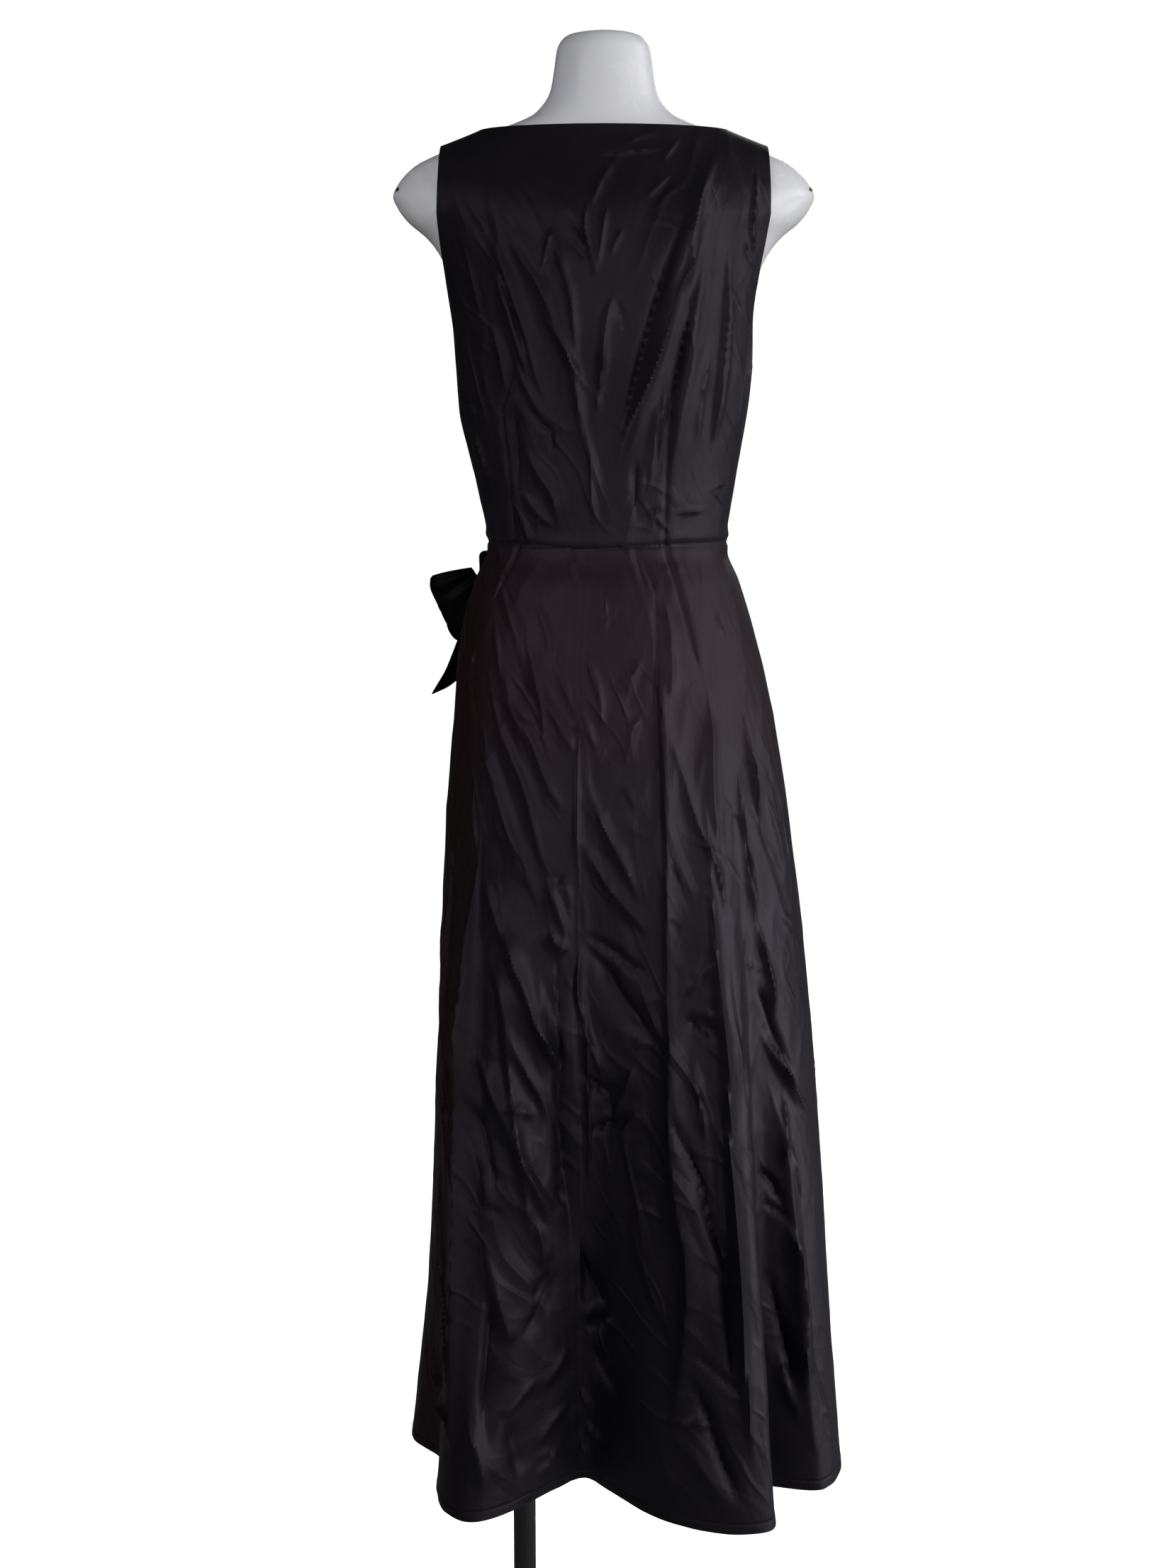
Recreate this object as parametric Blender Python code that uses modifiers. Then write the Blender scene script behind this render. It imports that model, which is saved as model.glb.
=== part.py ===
"""Sleeveless maxi dress with a side bow, worn by a limbless dress form on a pole stand.

Metres, +Z up. The origin is the centre of the base plate's underside, under the form's axis.
The dress faces -Y, its back faces +Y, and the wearer's left is +X.
Angles round the body run from the back centre (+Y) towards the wearer's left (+X), in degrees.
"""
import math
from collections import namedtuple

import bmesh
import bpy
from mathutils import Matrix, Vector

# ---- cloth ---------------------------------------------------------------------------------
WALL = 0.0015           # thickness of every cloth piece
SEAM = 0.0003           # gap kept between pieces that are sewn together
SEAT = 0.0045           # outer face of the cloth above the form, where it rests on it

# ---- dress heights -------------------------------------------------------------------------
HEM = 0.300
WAIST = 1.279           # waist seam at the sides
WAIST_DIP = 0.006       # how far the seam drops at the centre back
LIFT_START = 1.560      # from here up, the cloth also rises off the form
SHOULDER_BAND = 1.600   # above this height the cloth folds over the shoulders
NECKLINE = 1.686
FRONT_SCOOP = 0.030     # how much lower the neckline is at the centre front

# ---- dress lines ---------------------------------------------------------------------------
TWIST = 8.5             # the whole dress sits turned this far to the wearer's left
SIDE_SPAN = 89.5        # centre line to side seam
SHOULDER_TIP = 0.1635   # outer end of the shoulder seam, from the axis
NECK_CORNER = 0.121     # inner end of the shoulder seam, from the axis
CORNER_SHARE = 0.705    # where the neck corner's column stands, from centre line to edge
SEAM_TURN = math.degrees(SEAM / 2 / 0.10)   # half a seam gap, as a turn at the side
ARMPIT_LEFT = 1.415
ARMPIT_RIGHT = 1.450
ARMPIT_CURVE = 0.075    # height over which the armhole turns from level to upright

DART_WAIST = 0.43       # where the darts meet the waist seam, from centre line to side
DART_TIP = 0.34         # the same at a bodice dart's tip
DART_SKIRT_TIP = 0.50   # the same at a skirt dart's tip
DART_HALF = 0.014       # half the width of a dart's groove, as a share of the side span
DART_DEPTH = 0.0012
BODICE_DART_TOP = 1.450
SKIRT_DART_END = 1.160

# ---- stand ---------------------------------------------------------------------------------
FORM_BOTTOM = 0.960
POLE_X = 0.088          # the pole stands to one side, where a form's leg socket is
POLE_RADIUS = 0.0125
BORE_RADIUS = POLE_RADIUS + SEAM
BORE_DEPTH = 0.060
PLATE_RADIUS = 0.150
PLATE_THICK = 0.010
COLLAR_RADIUS = 0.022
COLLAR_HEIGHT = 0.045

# The dress form: half width, depth to the back and to the front, and squareness of each section.
FormRow = namedtuple("FormRow", "height side back front square")
FORM = [
    FormRow(0.960, 0.140, 0.092, 0.090, 2.3),
    FormRow(1.030, 0.147, 0.102, 0.096, 2.3),
    FormRow(1.100, 0.146, 0.108, 0.102, 2.2),
    FormRow(1.160, 0.138, 0.102, 0.104, 2.2),
    FormRow(1.220, 0.122, 0.086, 0.099, 2.1),
    FormRow(1.275, 0.111, 0.077, 0.092, 2.1),
    FormRow(1.340, 0.118, 0.082, 0.099, 2.1),
    FormRow(1.400, 0.130, 0.092, 0.114, 2.1),
    FormRow(1.450, 0.141, 0.100, 0.125, 2.1),
    FormRow(1.510, 0.153, 0.105, 0.117, 2.1),
    FormRow(1.550, 0.160, 0.103, 0.104, 2.0),
    FormRow(1.567, 0.168, 0.101, 0.099, 1.9),
    FormRow(1.581, 0.179, 0.098, 0.094, 1.8),
    FormRow(1.597, 0.198, 0.094, 0.089, 1.75),
    FormRow(1.610, 0.208, 0.089, 0.084, 1.7),
    FormRow(1.622, 0.213, 0.083, 0.078, 1.7),
    FormRow(1.635, 0.207, 0.075, 0.071, 1.7),
    FormRow(1.652, 0.190, 0.064, 0.061, 1.7),
    FormRow(1.664, 0.165, 0.057, 0.055, 1.7),
    FormRow(1.672, 0.145, 0.053, 0.052, 1.75),
    FormRow(1.683, 0.117, 0.049, 0.050, 1.8),
    FormRow(1.703, 0.069, 0.046, 0.048, 1.95),
    FormRow(1.724, 0.054, 0.044, 0.047, 2.0),
    FormRow(1.745, 0.050, 0.043, 0.046, 2.0),
    FormRow(1.764, 0.047, 0.041, 0.044, 2.0),
    FormRow(1.774, 0.041, 0.035, 0.038, 2.0),
    FormRow(1.779, 0.030, 0.025, 0.028, 2.0),
    FormRow(1.780, 0.016, 0.013, 0.014, 2.0),
]

# Ease of the bodice: how far its outer face stands off the form.
EaseRow = namedtuple("EaseRow", "height left right back front")
BODICE_EASE = [
    EaseRow(1.270, 0.0085, 0.0160, 0.0130, 0.0090),
    EaseRow(1.340, 0.0140, 0.0180, 0.0130, 0.0100),
    EaseRow(1.400, 0.0170, 0.0160, 0.0090, 0.0070),
    EaseRow(1.450, 0.0100, 0.0110, 0.0050, 0.0050),
    EaseRow(1.510, 0.0050, 0.0045, SEAT, 0.0040),
    EaseRow(1.580, 0.0060, 0.0060, 0.0055, 0.0055),
    EaseRow(1.640, SEAT, SEAT, SEAT, SEAT),
]

# Armhole edge: distance from the axis at each height.
ArmholeRow = namedtuple("ArmholeRow", "height back_left back_right front")
ARMHOLE = [
    ArmholeRow(1.450, 0.1480, 0.1500, 0.139),
    ArmholeRow(1.495, 0.1530, 0.1480, 0.137),
    ArmholeRow(1.537, 0.1590, 0.1540, 0.142),
    ArmholeRow(1.579, 0.1640, 0.1610, 0.150),
    ArmholeRow(1.600, 0.1655, 0.1640, 0.154),
]

# The skirt without its folds: half widths and depths at each height.
SkirtRow = namedtuple("SkirtRow", "height left right back front")
SKIRT = [
    SkirtRow(1.300, 0.118, 0.126, 0.089, 0.100),
    SkirtRow(1.272, 0.119, 0.127, 0.090, 0.101),
    SkirtRow(1.235, 0.134, 0.141, 0.105, 0.110),
    SkirtRow(1.175, 0.150, 0.160, 0.120, 0.120),
    SkirtRow(1.100, 0.157, 0.178, 0.132, 0.132),
    SkirtRow(0.947, 0.169, 0.203, 0.150, 0.150),
    SkirtRow(0.711, 0.180, 0.229, 0.172, 0.172),
    SkirtRow(0.465, 0.190, 0.243, 0.192, 0.194),
    SkirtRow(0.300, 0.197, 0.248, 0.205, 0.208),
]
SKIRT_SQUARE = 2.1

# The skirt's folds. Each runs from angle_top, where it fades out at height top, to angle_hem at
# the hem, where it stands out by reach, or in where reach is negative. It fades to nothing over
# fade_left degrees towards the wearer's left and fade_right towards the right.
Fold = namedtuple("Fold", "name angle_top angle_hem top reach fade_left fade_right power")
FOLDS = [
    Fold("left seam flute", 84, 76, 0.62, 0.018, 22, 16, 2.0),
    Fold("back left flute", 40, 33, 1.00, 0.064, 30, 15, 1.3),
    Fold("centre back valley", 2, 8, 1.12, -0.064, 20, 24, 1.2),
    Fold("back right flute", -42, -34, 1.16, 0.078, 30, 13, 1.3),
    Fold("right seam flute", -62, -55, 0.86, 0.050, 9, 34, 1.4),
    Fold("front left flute", 118, 124, 0.90, 0.042, 20, 22, 1.4),
    Fold("front left valley", 146, 148, 0.95, -0.034, 16, 16, 1.4),
    Fold("front flute", 168, 172, 1.02, 0.046, 20, 18, 1.3),
    Fold("front right valley", 196, 198, 0.95, -0.036, 18, 16, 1.4),
    Fold("front right flute", 222, 224, 0.98, 0.050, 18, 22, 1.3),
    Fold("right side valley", 248, 250, 0.80, -0.020, 14, 14, 1.4),
]

# ---- bow -----------------------------------------------------------------------------------
KNOT = Vector((0.1201, -0.0705, 1.2450))    # centre of the knot
KNOT_HALF = Vector((0.010, 0.014, 0.018))   # half sizes: off the dress, along it, upright
KNOT_TURN = -30.0                           # turns the knot to face away from the dress
GATHER = 0.026                              # the ribbon's width where the knot grips it

# Loops: the two corners of the far fold, measured from the knot, half the space inside,
# and how far from the knot's centre the loop starts.
Loop = namedtuple("Loop", "name upper lower half_space seat")
LOOPS = [
    Loop("bow_loop_back", Vector((0.073, -0.012, -0.012)), Vector((0.038, -0.016, -0.090)), 0.010,
         0.0145),
    Loop("bow_loop_front", Vector((-0.036, -0.088, -0.006)), Vector((-0.022, -0.084, -0.072)),
         0.012, 0.0137),
]

# Tails: where each leaves the knot, then its two end corners, all measured from the knot.
Tail = namedtuple("Tail", "name start tip corner wave")
TAILS = [
    Tail("bow_tail_back", Vector((0.004, 0.007, -0.0186)), Vector((0.064, 0.030, -0.134)),
         Vector((-0.006, -0.054, -0.094)), 0.002),
    Tail("bow_tail_front", Vector((-0.0035, -0.006, -0.0186)), Vector((-0.008, -0.056, -0.185)),
         Vector((-0.050, -0.078, -0.150)), -0.002),
]


# ---- small tools ---------------------------------------------------------------------------
def mix(start, end, share):
    return start + (end - start) * share


def clamp(value):
    return min(1.0, max(0.0, value))


def ease_in_out(value):
    value = clamp(value)
    return value * value * (3 - 2 * value)


def station(values, place):
    """Read a list at a fractional place, and carry on in a straight line past its ends."""
    index = min(max(int(math.floor(place)), 0), len(values) - 2)
    return mix(values[index], values[index + 1], place - index)


def spread(stops, counts):
    """Divide each stretch between neighbouring stops into its count of equal steps."""
    values = [stops[0]]
    for start, end, count in zip(stops, stops[1:], counts):
        values += [mix(start, end, step / count) for step in range(1, count + 1)]
    return values


def smooth_row(rows, height):
    """Return the row at a height, on smooth curves that never pass the rows' own values."""
    rows = sorted(rows)
    last = len(rows) - 1
    lower = next((i for i in range(last) if height <= rows[i + 1].height), last - 1)
    gap = rows[lower + 1].height - rows[lower].height
    share = clamp((height - rows[lower].height) / gap)
    fields = []
    for column in range(1, len(rows[0])):
        def rise(index):
            if not 0 <= index < last:
                return None
            step = rows[index + 1].height - rows[index].height
            return (rows[index + 1][column] - rows[index][column]) / step

        def slope(index):
            before, after = rise(index - 1), rise(index)
            if before is None or after is None:
                return before if after is None else after
            if before * after <= 0:
                return 0.0
            return 2 * before * after / (before + after)

        start, end = rows[lower][column], rows[lower + 1][column]
        in_slope, out_slope = slope(lower) * gap, slope(lower + 1) * gap
        square, cube = share ** 2, share ** 3
        fields.append((2 * cube - 3 * square + 1) * start + (cube - 2 * square + share) * in_slope
                      + (3 * square - 2 * cube) * end + (cube - square) * out_slope)
    return type(rows[0])(height, *fields)


# ---- sections ------------------------------------------------------------------------------
Ring = namedtuple("Ring", "left right back front square")


def ring_point(ring, angle):
    """Return x and y on a section, at an angle round the body.

    The section is (x / half) ** square + (y / depth) ** 2 = 1, so its two sides stay round.
    """
    across, deep = math.sin(math.radians(angle)), math.cos(math.radians(angle))
    half = ring.left if across >= 0 else ring.right
    depth = ring.back if deep >= 0 else ring.front
    return math.copysign(half * abs(across) ** (2 / ring.square), across), depth * deep


def form_ring(height):
    row = smooth_row(FORM, height)
    return Ring(row.side, row.side, row.back, row.front, row.square)


def bodice_ring(height):
    """The form's section with the bodice's ease, lifted by the seat over the shoulders."""
    lift = SEAT * ease_in_out((height - LIFT_START) / (SHOULDER_BAND - LIFT_START))
    form = form_ring(height - lift)
    ease = smooth_row(BODICE_EASE, height)
    return Ring(form.left + ease.left, form.right + ease.right, form.back + ease.back,
                form.front + ease.front, form.square)


def panel_ring(side, height):
    """The bodice's section as a panel sees it: its own depth first, its neighbour's second."""
    ring = bodice_ring(height)
    return ring if side > 0 else ring._replace(back=ring.front, front=ring.back)


def skirt_ring(height):
    row = smooth_row(SKIRT, height)
    return Ring(row.left, row.right, row.back, row.front, SKIRT_SQUARE)


def waist_height(angle):
    """Height of the waist seam, which dips at the centre back."""
    turn = (angle - TWIST + 180) % 360 - 180
    return WAIST - WAIST_DIP * (1 - ease_in_out(abs(turn) / 45))


def fold_reach(fold, bearing, height):
    """How far one fold moves the cloth out at a bearing and a height."""
    drop = clamp((fold.top - height) / (fold.top - HEM))
    turn = (bearing - mix(fold.angle_top, fold.angle_hem, drop) + 180) % 360 - 180
    fade = fold.fade_left if turn > 0 else fold.fade_right
    return fold.reach * drop ** fold.power * math.cos(math.pi / 2 * clamp(abs(turn) / fade)) ** 2


def dart_groove(offset, height, tip):
    """Depth of a dart's groove, at an offset from its line, fading out to its tip."""
    fade = clamp((height - tip) / (WAIST - tip) * 4)
    return DART_DEPTH * fade * clamp(1 - abs(offset) / DART_HALF)


# ---- surfaces ------------------------------------------------------------------------------
def skirt_point(angle, height, groove=0.0):
    """Outer face of the skirt."""
    x, y = ring_point(skirt_ring(height), angle)
    bearing = math.degrees(math.atan2(x, y))
    reach = math.hypot(x, y) - groove + sum(fold_reach(f, bearing, height) for f in FOLDS)
    turn = math.radians(bearing)
    return Vector((reach * math.sin(turn), reach * math.cos(turn), height))


def armhole_edge(side, hand, height):
    """Angle of a bodice panel's edge from the panel's own middle: side seam, then armhole.

    side is 1 for the back and -1 for the front; hand is 1 for the left and -1 for the right.
    """
    seam = hand * (SIDE_SPAN - SEAM_TURN) + side * TWIST
    armpit = ARMPIT_LEFT if hand > 0 else ARMPIT_RIGHT
    if height <= armpit:
        return seam
    row = smooth_row(ARMHOLE, max(height, ARMHOLE[0].height))
    if side < 0:
        edge = row.front
    else:
        edge = row.back_left if hand > 0 else row.back_right
    ring = bodice_ring(height)
    share = clamp(edge / (ring.left if hand > 0 else ring.right))
    opened = hand * math.degrees(math.asin(share ** (ring.square / 2)))
    return mix(seam, opened, clamp((height - armpit) / ARMPIT_CURVE) ** 0.5)


def bodice_angle(side, share, height):
    """Angle from the panel's middle for a share of the way from its centre line to its edge."""
    centre = side * TWIST * (1 - ease_in_out((height - BODICE_DART_TOP)
                                             / (SHOULDER_BAND - BODICE_DART_TOP)))
    edge = armhole_edge(side, 1 if share >= 0 else -1, height)
    return mix(centre, edge, abs(share))


def bodice_dart_share(height):
    rise = (height - WAIST) / (BODICE_DART_TOP - WAIST)
    return mix(DART_WAIST, DART_TIP, clamp(rise))


def neckline_height(side, x):
    scoop = FRONT_SCOOP if side < 0 else 0.0
    return NECKLINE - scoop * (1 - clamp(abs(x) / NECK_CORNER) ** 2)


def shoulder_distance(x, tilt, side):
    """Distance from the shoulder band's middle line out to the cloth, tilted from upright."""
    near, far = 0.0, 0.2
    for _ in range(40):
        middle = (near + far) / 2
        ring = bodice_ring(SHOULDER_BAND + middle * math.cos(tilt))
        y = side * middle * math.sin(tilt)
        half = ring.left if x >= 0 else ring.right
        depth = ring.back if y >= 0 else ring.front
        inside = (abs(x) / half) ** ring.square + (y / depth) ** 2 < 1
        near, far = (middle, far) if inside else (near, middle)
    return near


def bodice_point(side, share, climb):
    """Outer face of the bodice: climb runs to 1 at the shoulder band and 2 at the top edge."""
    if climb <= 1:
        angle = bodice_angle(side, share, mix(WAIST, SHOULDER_BAND, climb))
        around = angle if side > 0 else 180 - angle
        height = mix(waist_height(around) + SEAM / 2, SHOULDER_BAND, climb)
        angle = bodice_angle(side, share, height)
        x, y = ring_point(panel_ring(side, height), angle)
        offset = abs(share) - bodice_dart_share(height)
        inward = 1 - dart_groove(offset, height, BODICE_DART_TOP) / math.hypot(x, y)
        return Vector((x * inward, side * y * inward, height))
    top = side_column(share)
    start = ring_point(bodice_ring(SHOULDER_BAND),
                       bodice_angle(side, share, SHOULDER_BAND))[0]
    x = top
    for _ in range(3):
        edge = neckline_height(side, x)
        ring = bodice_ring(edge)
        reach = clamp(abs(x) / (ring.left if x >= 0 else ring.right))
        depth = (ring.back if side > 0 else ring.front) * math.sqrt(1 - reach ** ring.square)
        last_tilt = max(math.atan2(depth, edge - SHOULDER_BAND),
                        SEAM / 2 / (NECKLINE - SHOULDER_BAND))
        x = mix(start, top, math.cos(last_tilt))
    tilt = mix(math.pi / 2, last_tilt, climb - 1)
    x = mix(start, top, math.cos(tilt))
    out = shoulder_distance(x, tilt, side)
    return Vector((x, side * out * math.sin(tilt), SHOULDER_BAND + out * math.cos(tilt)))


def side_column(share):
    """Where a column of the bodice ends along the shoulder seam, from the axis."""
    if abs(share) <= CORNER_SHARE:
        distance = NECK_CORNER * abs(share) / CORNER_SHARE
    else:
        outer = (abs(share) - CORNER_SHARE) / (1 - CORNER_SHARE)
        distance = mix(NECK_CORNER, SHOULDER_TIP, outer)
    return math.copysign(distance, share)


# ---- making pieces -------------------------------------------------------------------------
def material(name, colour, roughness, metallic=0.0):
    finish = bpy.data.materials.new(name)
    finish.use_nodes = True
    shader = finish.node_tree.nodes["Principled BSDF"]
    shader.inputs["Base Color"].default_value = (*colour, 1.0)
    shader.inputs["Roughness"].default_value = roughness
    shader.inputs["Metallic"].default_value = metallic
    finish.diffuse_color = (*colour, 1.0)
    return finish


def add_object(name, mesh, finish, collection):
    mesh.materials.append(finish)
    mesh.shade_smooth()
    mesh.set_sharp_from_angle(angle=math.radians(50))
    piece = bpy.data.objects.new(name, mesh)
    collection.objects.link(piece)
    return piece


def drape(name, columns, rows, surface, finish, collection, wall=WALL):
    """Lay a flat slab of columns by rows on a surface, and give it the cloth's wall.

    surface takes a fractional column and row and returns a point of the outer face.
    """
    def normal(column, row):
        step = 0.2
        along = surface(column + step, row) - surface(column - step, row)
        up = surface(column, row + step) - surface(column, row - step)
        return along.cross(up).normalized()

    slab = bmesh.new()
    bmesh.ops.create_grid(slab, x_segments=columns, y_segments=rows, size=0.5)
    lifted = bmesh.ops.extrude_face_region(slab, geom=slab.faces[:], use_keep_orig=True)
    raised = [part for part in lifted["geom"] if isinstance(part, bmesh.types.BMVert)]
    bmesh.ops.translate(slab, verts=raised, vec=(0, 0, 1))
    for vert in slab.verts:
        column = round((vert.co.x + 0.5) * columns)
        row = round((vert.co.y + 0.5) * rows)
        depth = 0.0 if vert.co.z > 0.5 else wall
        vert.co = surface(column, row) - normal(column, row) * depth
    bmesh.ops.recalc_face_normals(slab, faces=slab.faces)
    if slab.calc_volume(signed=True) < 0:
        bmesh.ops.reverse_faces(slab, faces=slab.faces)
    mesh = bpy.data.meshes.new(name)
    slab.to_mesh(mesh)
    slab.free()
    return add_object(name, mesh, finish, collection)


def make_bodice_panel(name, side, finish, collection):
    """One bodice panel, from the waist seam up to the shoulder seams and the neckline."""
    counts = [3, 4, 1, 1, 7, 1, 1, 4, 3]
    climbs = spread([0, 0.40, 0.66, 1, 2], [3, 4, 5, 6])

    def surface(column, row):
        climb = station(climbs, row)
        dart = bodice_dart_share(mix(WAIST, SHOULDER_BAND, min(climb, 1)))
        half = [dart - DART_HALF, dart, dart + DART_HALF, CORNER_SHARE, 1.0]
        shares = spread([-stop for stop in reversed(half)] + half, counts)
        # Columns run so that the slab's face looks outwards on both panels.
        share = station(shares, column if side < 0 else len(shares) - 1 - column)
        return bodice_point(side, share, climb)

    return drape(name, sum(counts), len(climbs) - 1, surface, finish, collection)


def skirt_surface(start, end, dart_counts):
    """Outer face of a skirt panel between two angles, with a dart in each half it spans.

    dart_counts gives the columns before each dart, between darts and after the last one.
    """
    heights = [WAIST, 1.235, SKIRT_DART_END, 0.95, HEM]
    drops = spread([(WAIST - height) / (WAIST - HEM) for height in heights], [2, 3, 4, 9])

    def dart_angles(height):
        rise = clamp((WAIST - height) / (WAIST - SKIRT_DART_END))
        turn = mix(DART_WAIST, DART_SKIRT_TIP, rise) * SIDE_SPAN
        found = [centre + hand * turn for centre in (TWIST, TWIST + 180) for hand in (-1, 1)]
        return [angle for angle in found if start < angle < end]

    def surface(column, row):
        drop = station(drops, row)
        lines = dart_angles(mix(WAIST, HEM, drop))
        half = DART_HALF * SIDE_SPAN
        stops = [start + SEAM_TURN]
        counts = []
        for line, count in zip(lines, dart_counts):
            stops += [line - half, line, line + half]
            counts += [count, 1, 1]
        stops.append(end - SEAM_TURN)
        counts.append(dart_counts[-1])
        angle = station(spread(stops, counts), column)
        height = mix(waist_height(angle) - SEAM / 2, HEM, drop)
        offset = min(abs(angle - line) for line in lines) / SIDE_SPAN
        return skirt_point(angle, height, dart_groove(offset, height, SKIRT_DART_END))

    columns = sum(dart_counts) + 2 * (len(dart_counts) - 1)
    return surface, columns, len(drops) - 1


def make_skirt_panel(name, start, end, dart_counts, finish, collection):
    surface, columns, rows = skirt_surface(start, end, dart_counts)
    return drape(name, columns, rows, surface, finish, collection)


def make_loop(loop, finish, collection):
    """A ribbon loop: a flat teardrop band that starts and ends at the knot's flank."""
    middle = (loop.upper + loop.lower) / 2
    way = middle.normalized()
    thick = way.cross(loop.upper - loop.lower).normalized()
    upright = thick.cross(way)
    foot = KNOT + way * loop.seat
    columns, rows = 14, 3

    def surface(column, row):
        turn = mix(0.92, 0.08, column / columns)
        out = math.sin(math.pi * turn) ** 2
        share = row / rows
        start = foot + upright * ((share - 0.5) * GATHER)
        end = KNOT + loop.lower.lerp(loop.upper, share)
        swell = loop.half_space * math.sin(2 * math.pi * turn) * math.sin(math.pi * turn) * 1.3
        return start.lerp(end, out) + thick * swell

    drape(loop.name, columns, rows, surface, finish, collection)


def make_tail(tail, finish, collection):
    """A hanging ribbon end, gathered at the knot and cut on a slant."""
    across = Vector((math.sin(math.radians(KNOT_TURN)), -math.cos(math.radians(KNOT_TURN)), 0))
    outward = (tail.tip - tail.start).cross(tail.corner - tail.tip).normalized()
    columns, rows = 4, 9

    def surface(column, row):
        share, drop = column / columns, row / rows
        start = KNOT + tail.start + across * (share * KNOT_HALF.y * 0.7)
        end = KNOT + tail.tip.lerp(tail.corner, share)
        ripple = tail.wave * math.sin(math.pi * 2 * share) * ease_in_out(drop * 1.5)
        return start.lerp(end, drop) + outward * ripple

    drape(tail.name, columns, rows, surface, finish, collection)


def make_knot(finish, collection):
    """The bow's knot: a small rounded pad that faces away from the dress."""
    cage = bmesh.new()
    bmesh.ops.create_cube(cage, size=2.0)
    turn = Matrix.Rotation(math.radians(KNOT_TURN), 4, "Z")
    bmesh.ops.transform(cage, matrix=turn @ Matrix.Diagonal((*KNOT_HALF, 1.0)), verts=cage.verts)
    mesh = bpy.data.meshes.new("bow_knot")
    cage.to_mesh(mesh)
    cage.free()
    knot = add_object("bow_knot", mesh, finish, collection)
    knot.location = KNOT
    rounding = knot.modifiers.new("rounding", "BEVEL")
    rounding.width = KNOT_HALF.x * 0.6
    rounding.segments = 3


def make_form(finish, collection, cutters):
    """The limbless form: one smooth body from thigh to neck, with the pole's blind bore."""
    around = 36
    heights = spread([row.height for row in FORM], [1] * 3 + [2] * 6 + [1] * (len(FORM) - 10))
    skin = bmesh.new()
    bmesh.ops.create_grid(skin, x_segments=around, y_segments=len(heights) - 1, size=0.5)
    for vert in skin.verts:
        height = heights[round((vert.co.y + 0.5) * (len(heights) - 1))]
        x, y = ring_point(form_ring(height), -360 * (vert.co.x + 0.5))
        vert.co = (x, y, height)
    bmesh.ops.remove_doubles(skin, verts=skin.verts, dist=1e-5)
    bmesh.ops.holes_fill(skin, edges=[edge for edge in skin.edges if edge.is_boundary])
    bmesh.ops.recalc_face_normals(skin, faces=skin.faces)
    mesh = bpy.data.meshes.new("form_torso")
    skin.to_mesh(mesh)
    skin.free()
    form = add_object("form_torso", mesh, finish, collection)
    bore = add_cylinder("pole_bore", BORE_RADIUS, FORM_BOTTOM - BORE_DEPTH,
                        FORM_BOTTOM + BORE_DEPTH, finish, cutters)
    bore.hide_render = True
    bore.display_type = "WIRE"
    cut = form.modifiers.new("pole bore", "BOOLEAN")
    cut.object = bore
    cut.operation = "DIFFERENCE"


def add_cylinder(name, radius, bottom, top, finish, collection, x=POLE_X, sides=28):
    """An upright cylinder between two heights."""
    body = bmesh.new()
    bmesh.ops.create_cone(body, cap_ends=True, segments=sides, radius1=radius, radius2=radius,
                          depth=top - bottom)
    mesh = bpy.data.meshes.new(name)
    body.to_mesh(mesh)
    body.free()
    piece = add_object(name, mesh, finish, collection)
    piece.location = (x, 0, (bottom + top) / 2)
    return piece


def make_stand(finish, collection):
    """The pole, the collar that holds its foot, and the round base plate."""
    add_cylinder("pole", POLE_RADIUS, PLATE_THICK + SEAM, FORM_BOTTOM + BORE_DEPTH - SEAM,
                 finish, collection)
    plate = add_cylinder("base_plate", PLATE_RADIUS, 0, PLATE_THICK, finish, collection,
                         x=0, sides=64)
    rim = plate.modifiers.new("rim", "BEVEL")
    rim.width = 0.002
    rim.segments = 2
    rim.limit_method = "ANGLE"

    profile = bmesh.new()
    bottom, top, chamfer = PLATE_THICK + SEAM, PLATE_THICK + COLLAR_HEIGHT, 0.002
    outline = [(COLLAR_RADIUS, top - chamfer), (COLLAR_RADIUS, bottom), (BORE_RADIUS, bottom),
               (BORE_RADIUS, top), (COLLAR_RADIUS - chamfer, top)]
    points = [profile.verts.new((radius, 0, height)) for radius, height in outline]
    for start, end in zip(points, points[1:] + points[:1]):
        profile.edges.new((start, end))
    mesh = bpy.data.meshes.new("pole_collar")
    profile.to_mesh(mesh)
    profile.free()
    collar = add_object("pole_collar", mesh, finish, collection)
    collar.location = (POLE_X, 0, 0)
    turned = collar.modifiers.new("turned", "SCREW")
    turned.steps = turned.render_steps = 28
    turned.use_merge_vertices = True
    turned.merge_threshold = 1e-5


def main():
    for old in list(bpy.data.objects):
        bpy.data.objects.remove(old)
    parts = bpy.data.collections.new("maxi dress on a dress form")
    cutters = bpy.data.collections.new("cutters")
    for collection in (parts, cutters):
        bpy.context.scene.collection.children.link(collection)

    satin = material("black satin", (0.013, 0.011, 0.013), 0.45)
    shell = material("white form", (0.78, 0.78, 0.82), 0.35)
    paint = material("dark paint", (0.02, 0.021, 0.023), 0.5, 0.3)

    left, right = TWIST + SIDE_SPAN, TWIST - SIDE_SPAN
    make_bodice_panel("bodice_back", 1, satin, parts)
    make_bodice_panel("bodice_front", -1, satin, parts)
    make_skirt_panel("skirt_back_left", TWIST, left, [6, 8], satin, parts)
    make_skirt_panel("skirt_back_right", right, TWIST, [7, 7], satin, parts)
    make_skirt_panel("skirt_front", left, right + 360, [8, 10, 8], satin, parts)
    make_knot(satin, parts)
    for loop in LOOPS:
        make_loop(loop, satin, parts)
    for tail in TAILS:
        make_tail(tail, satin, parts)
    make_form(shell, parts, cutters)
    make_stand(paint, parts)


main()
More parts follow.
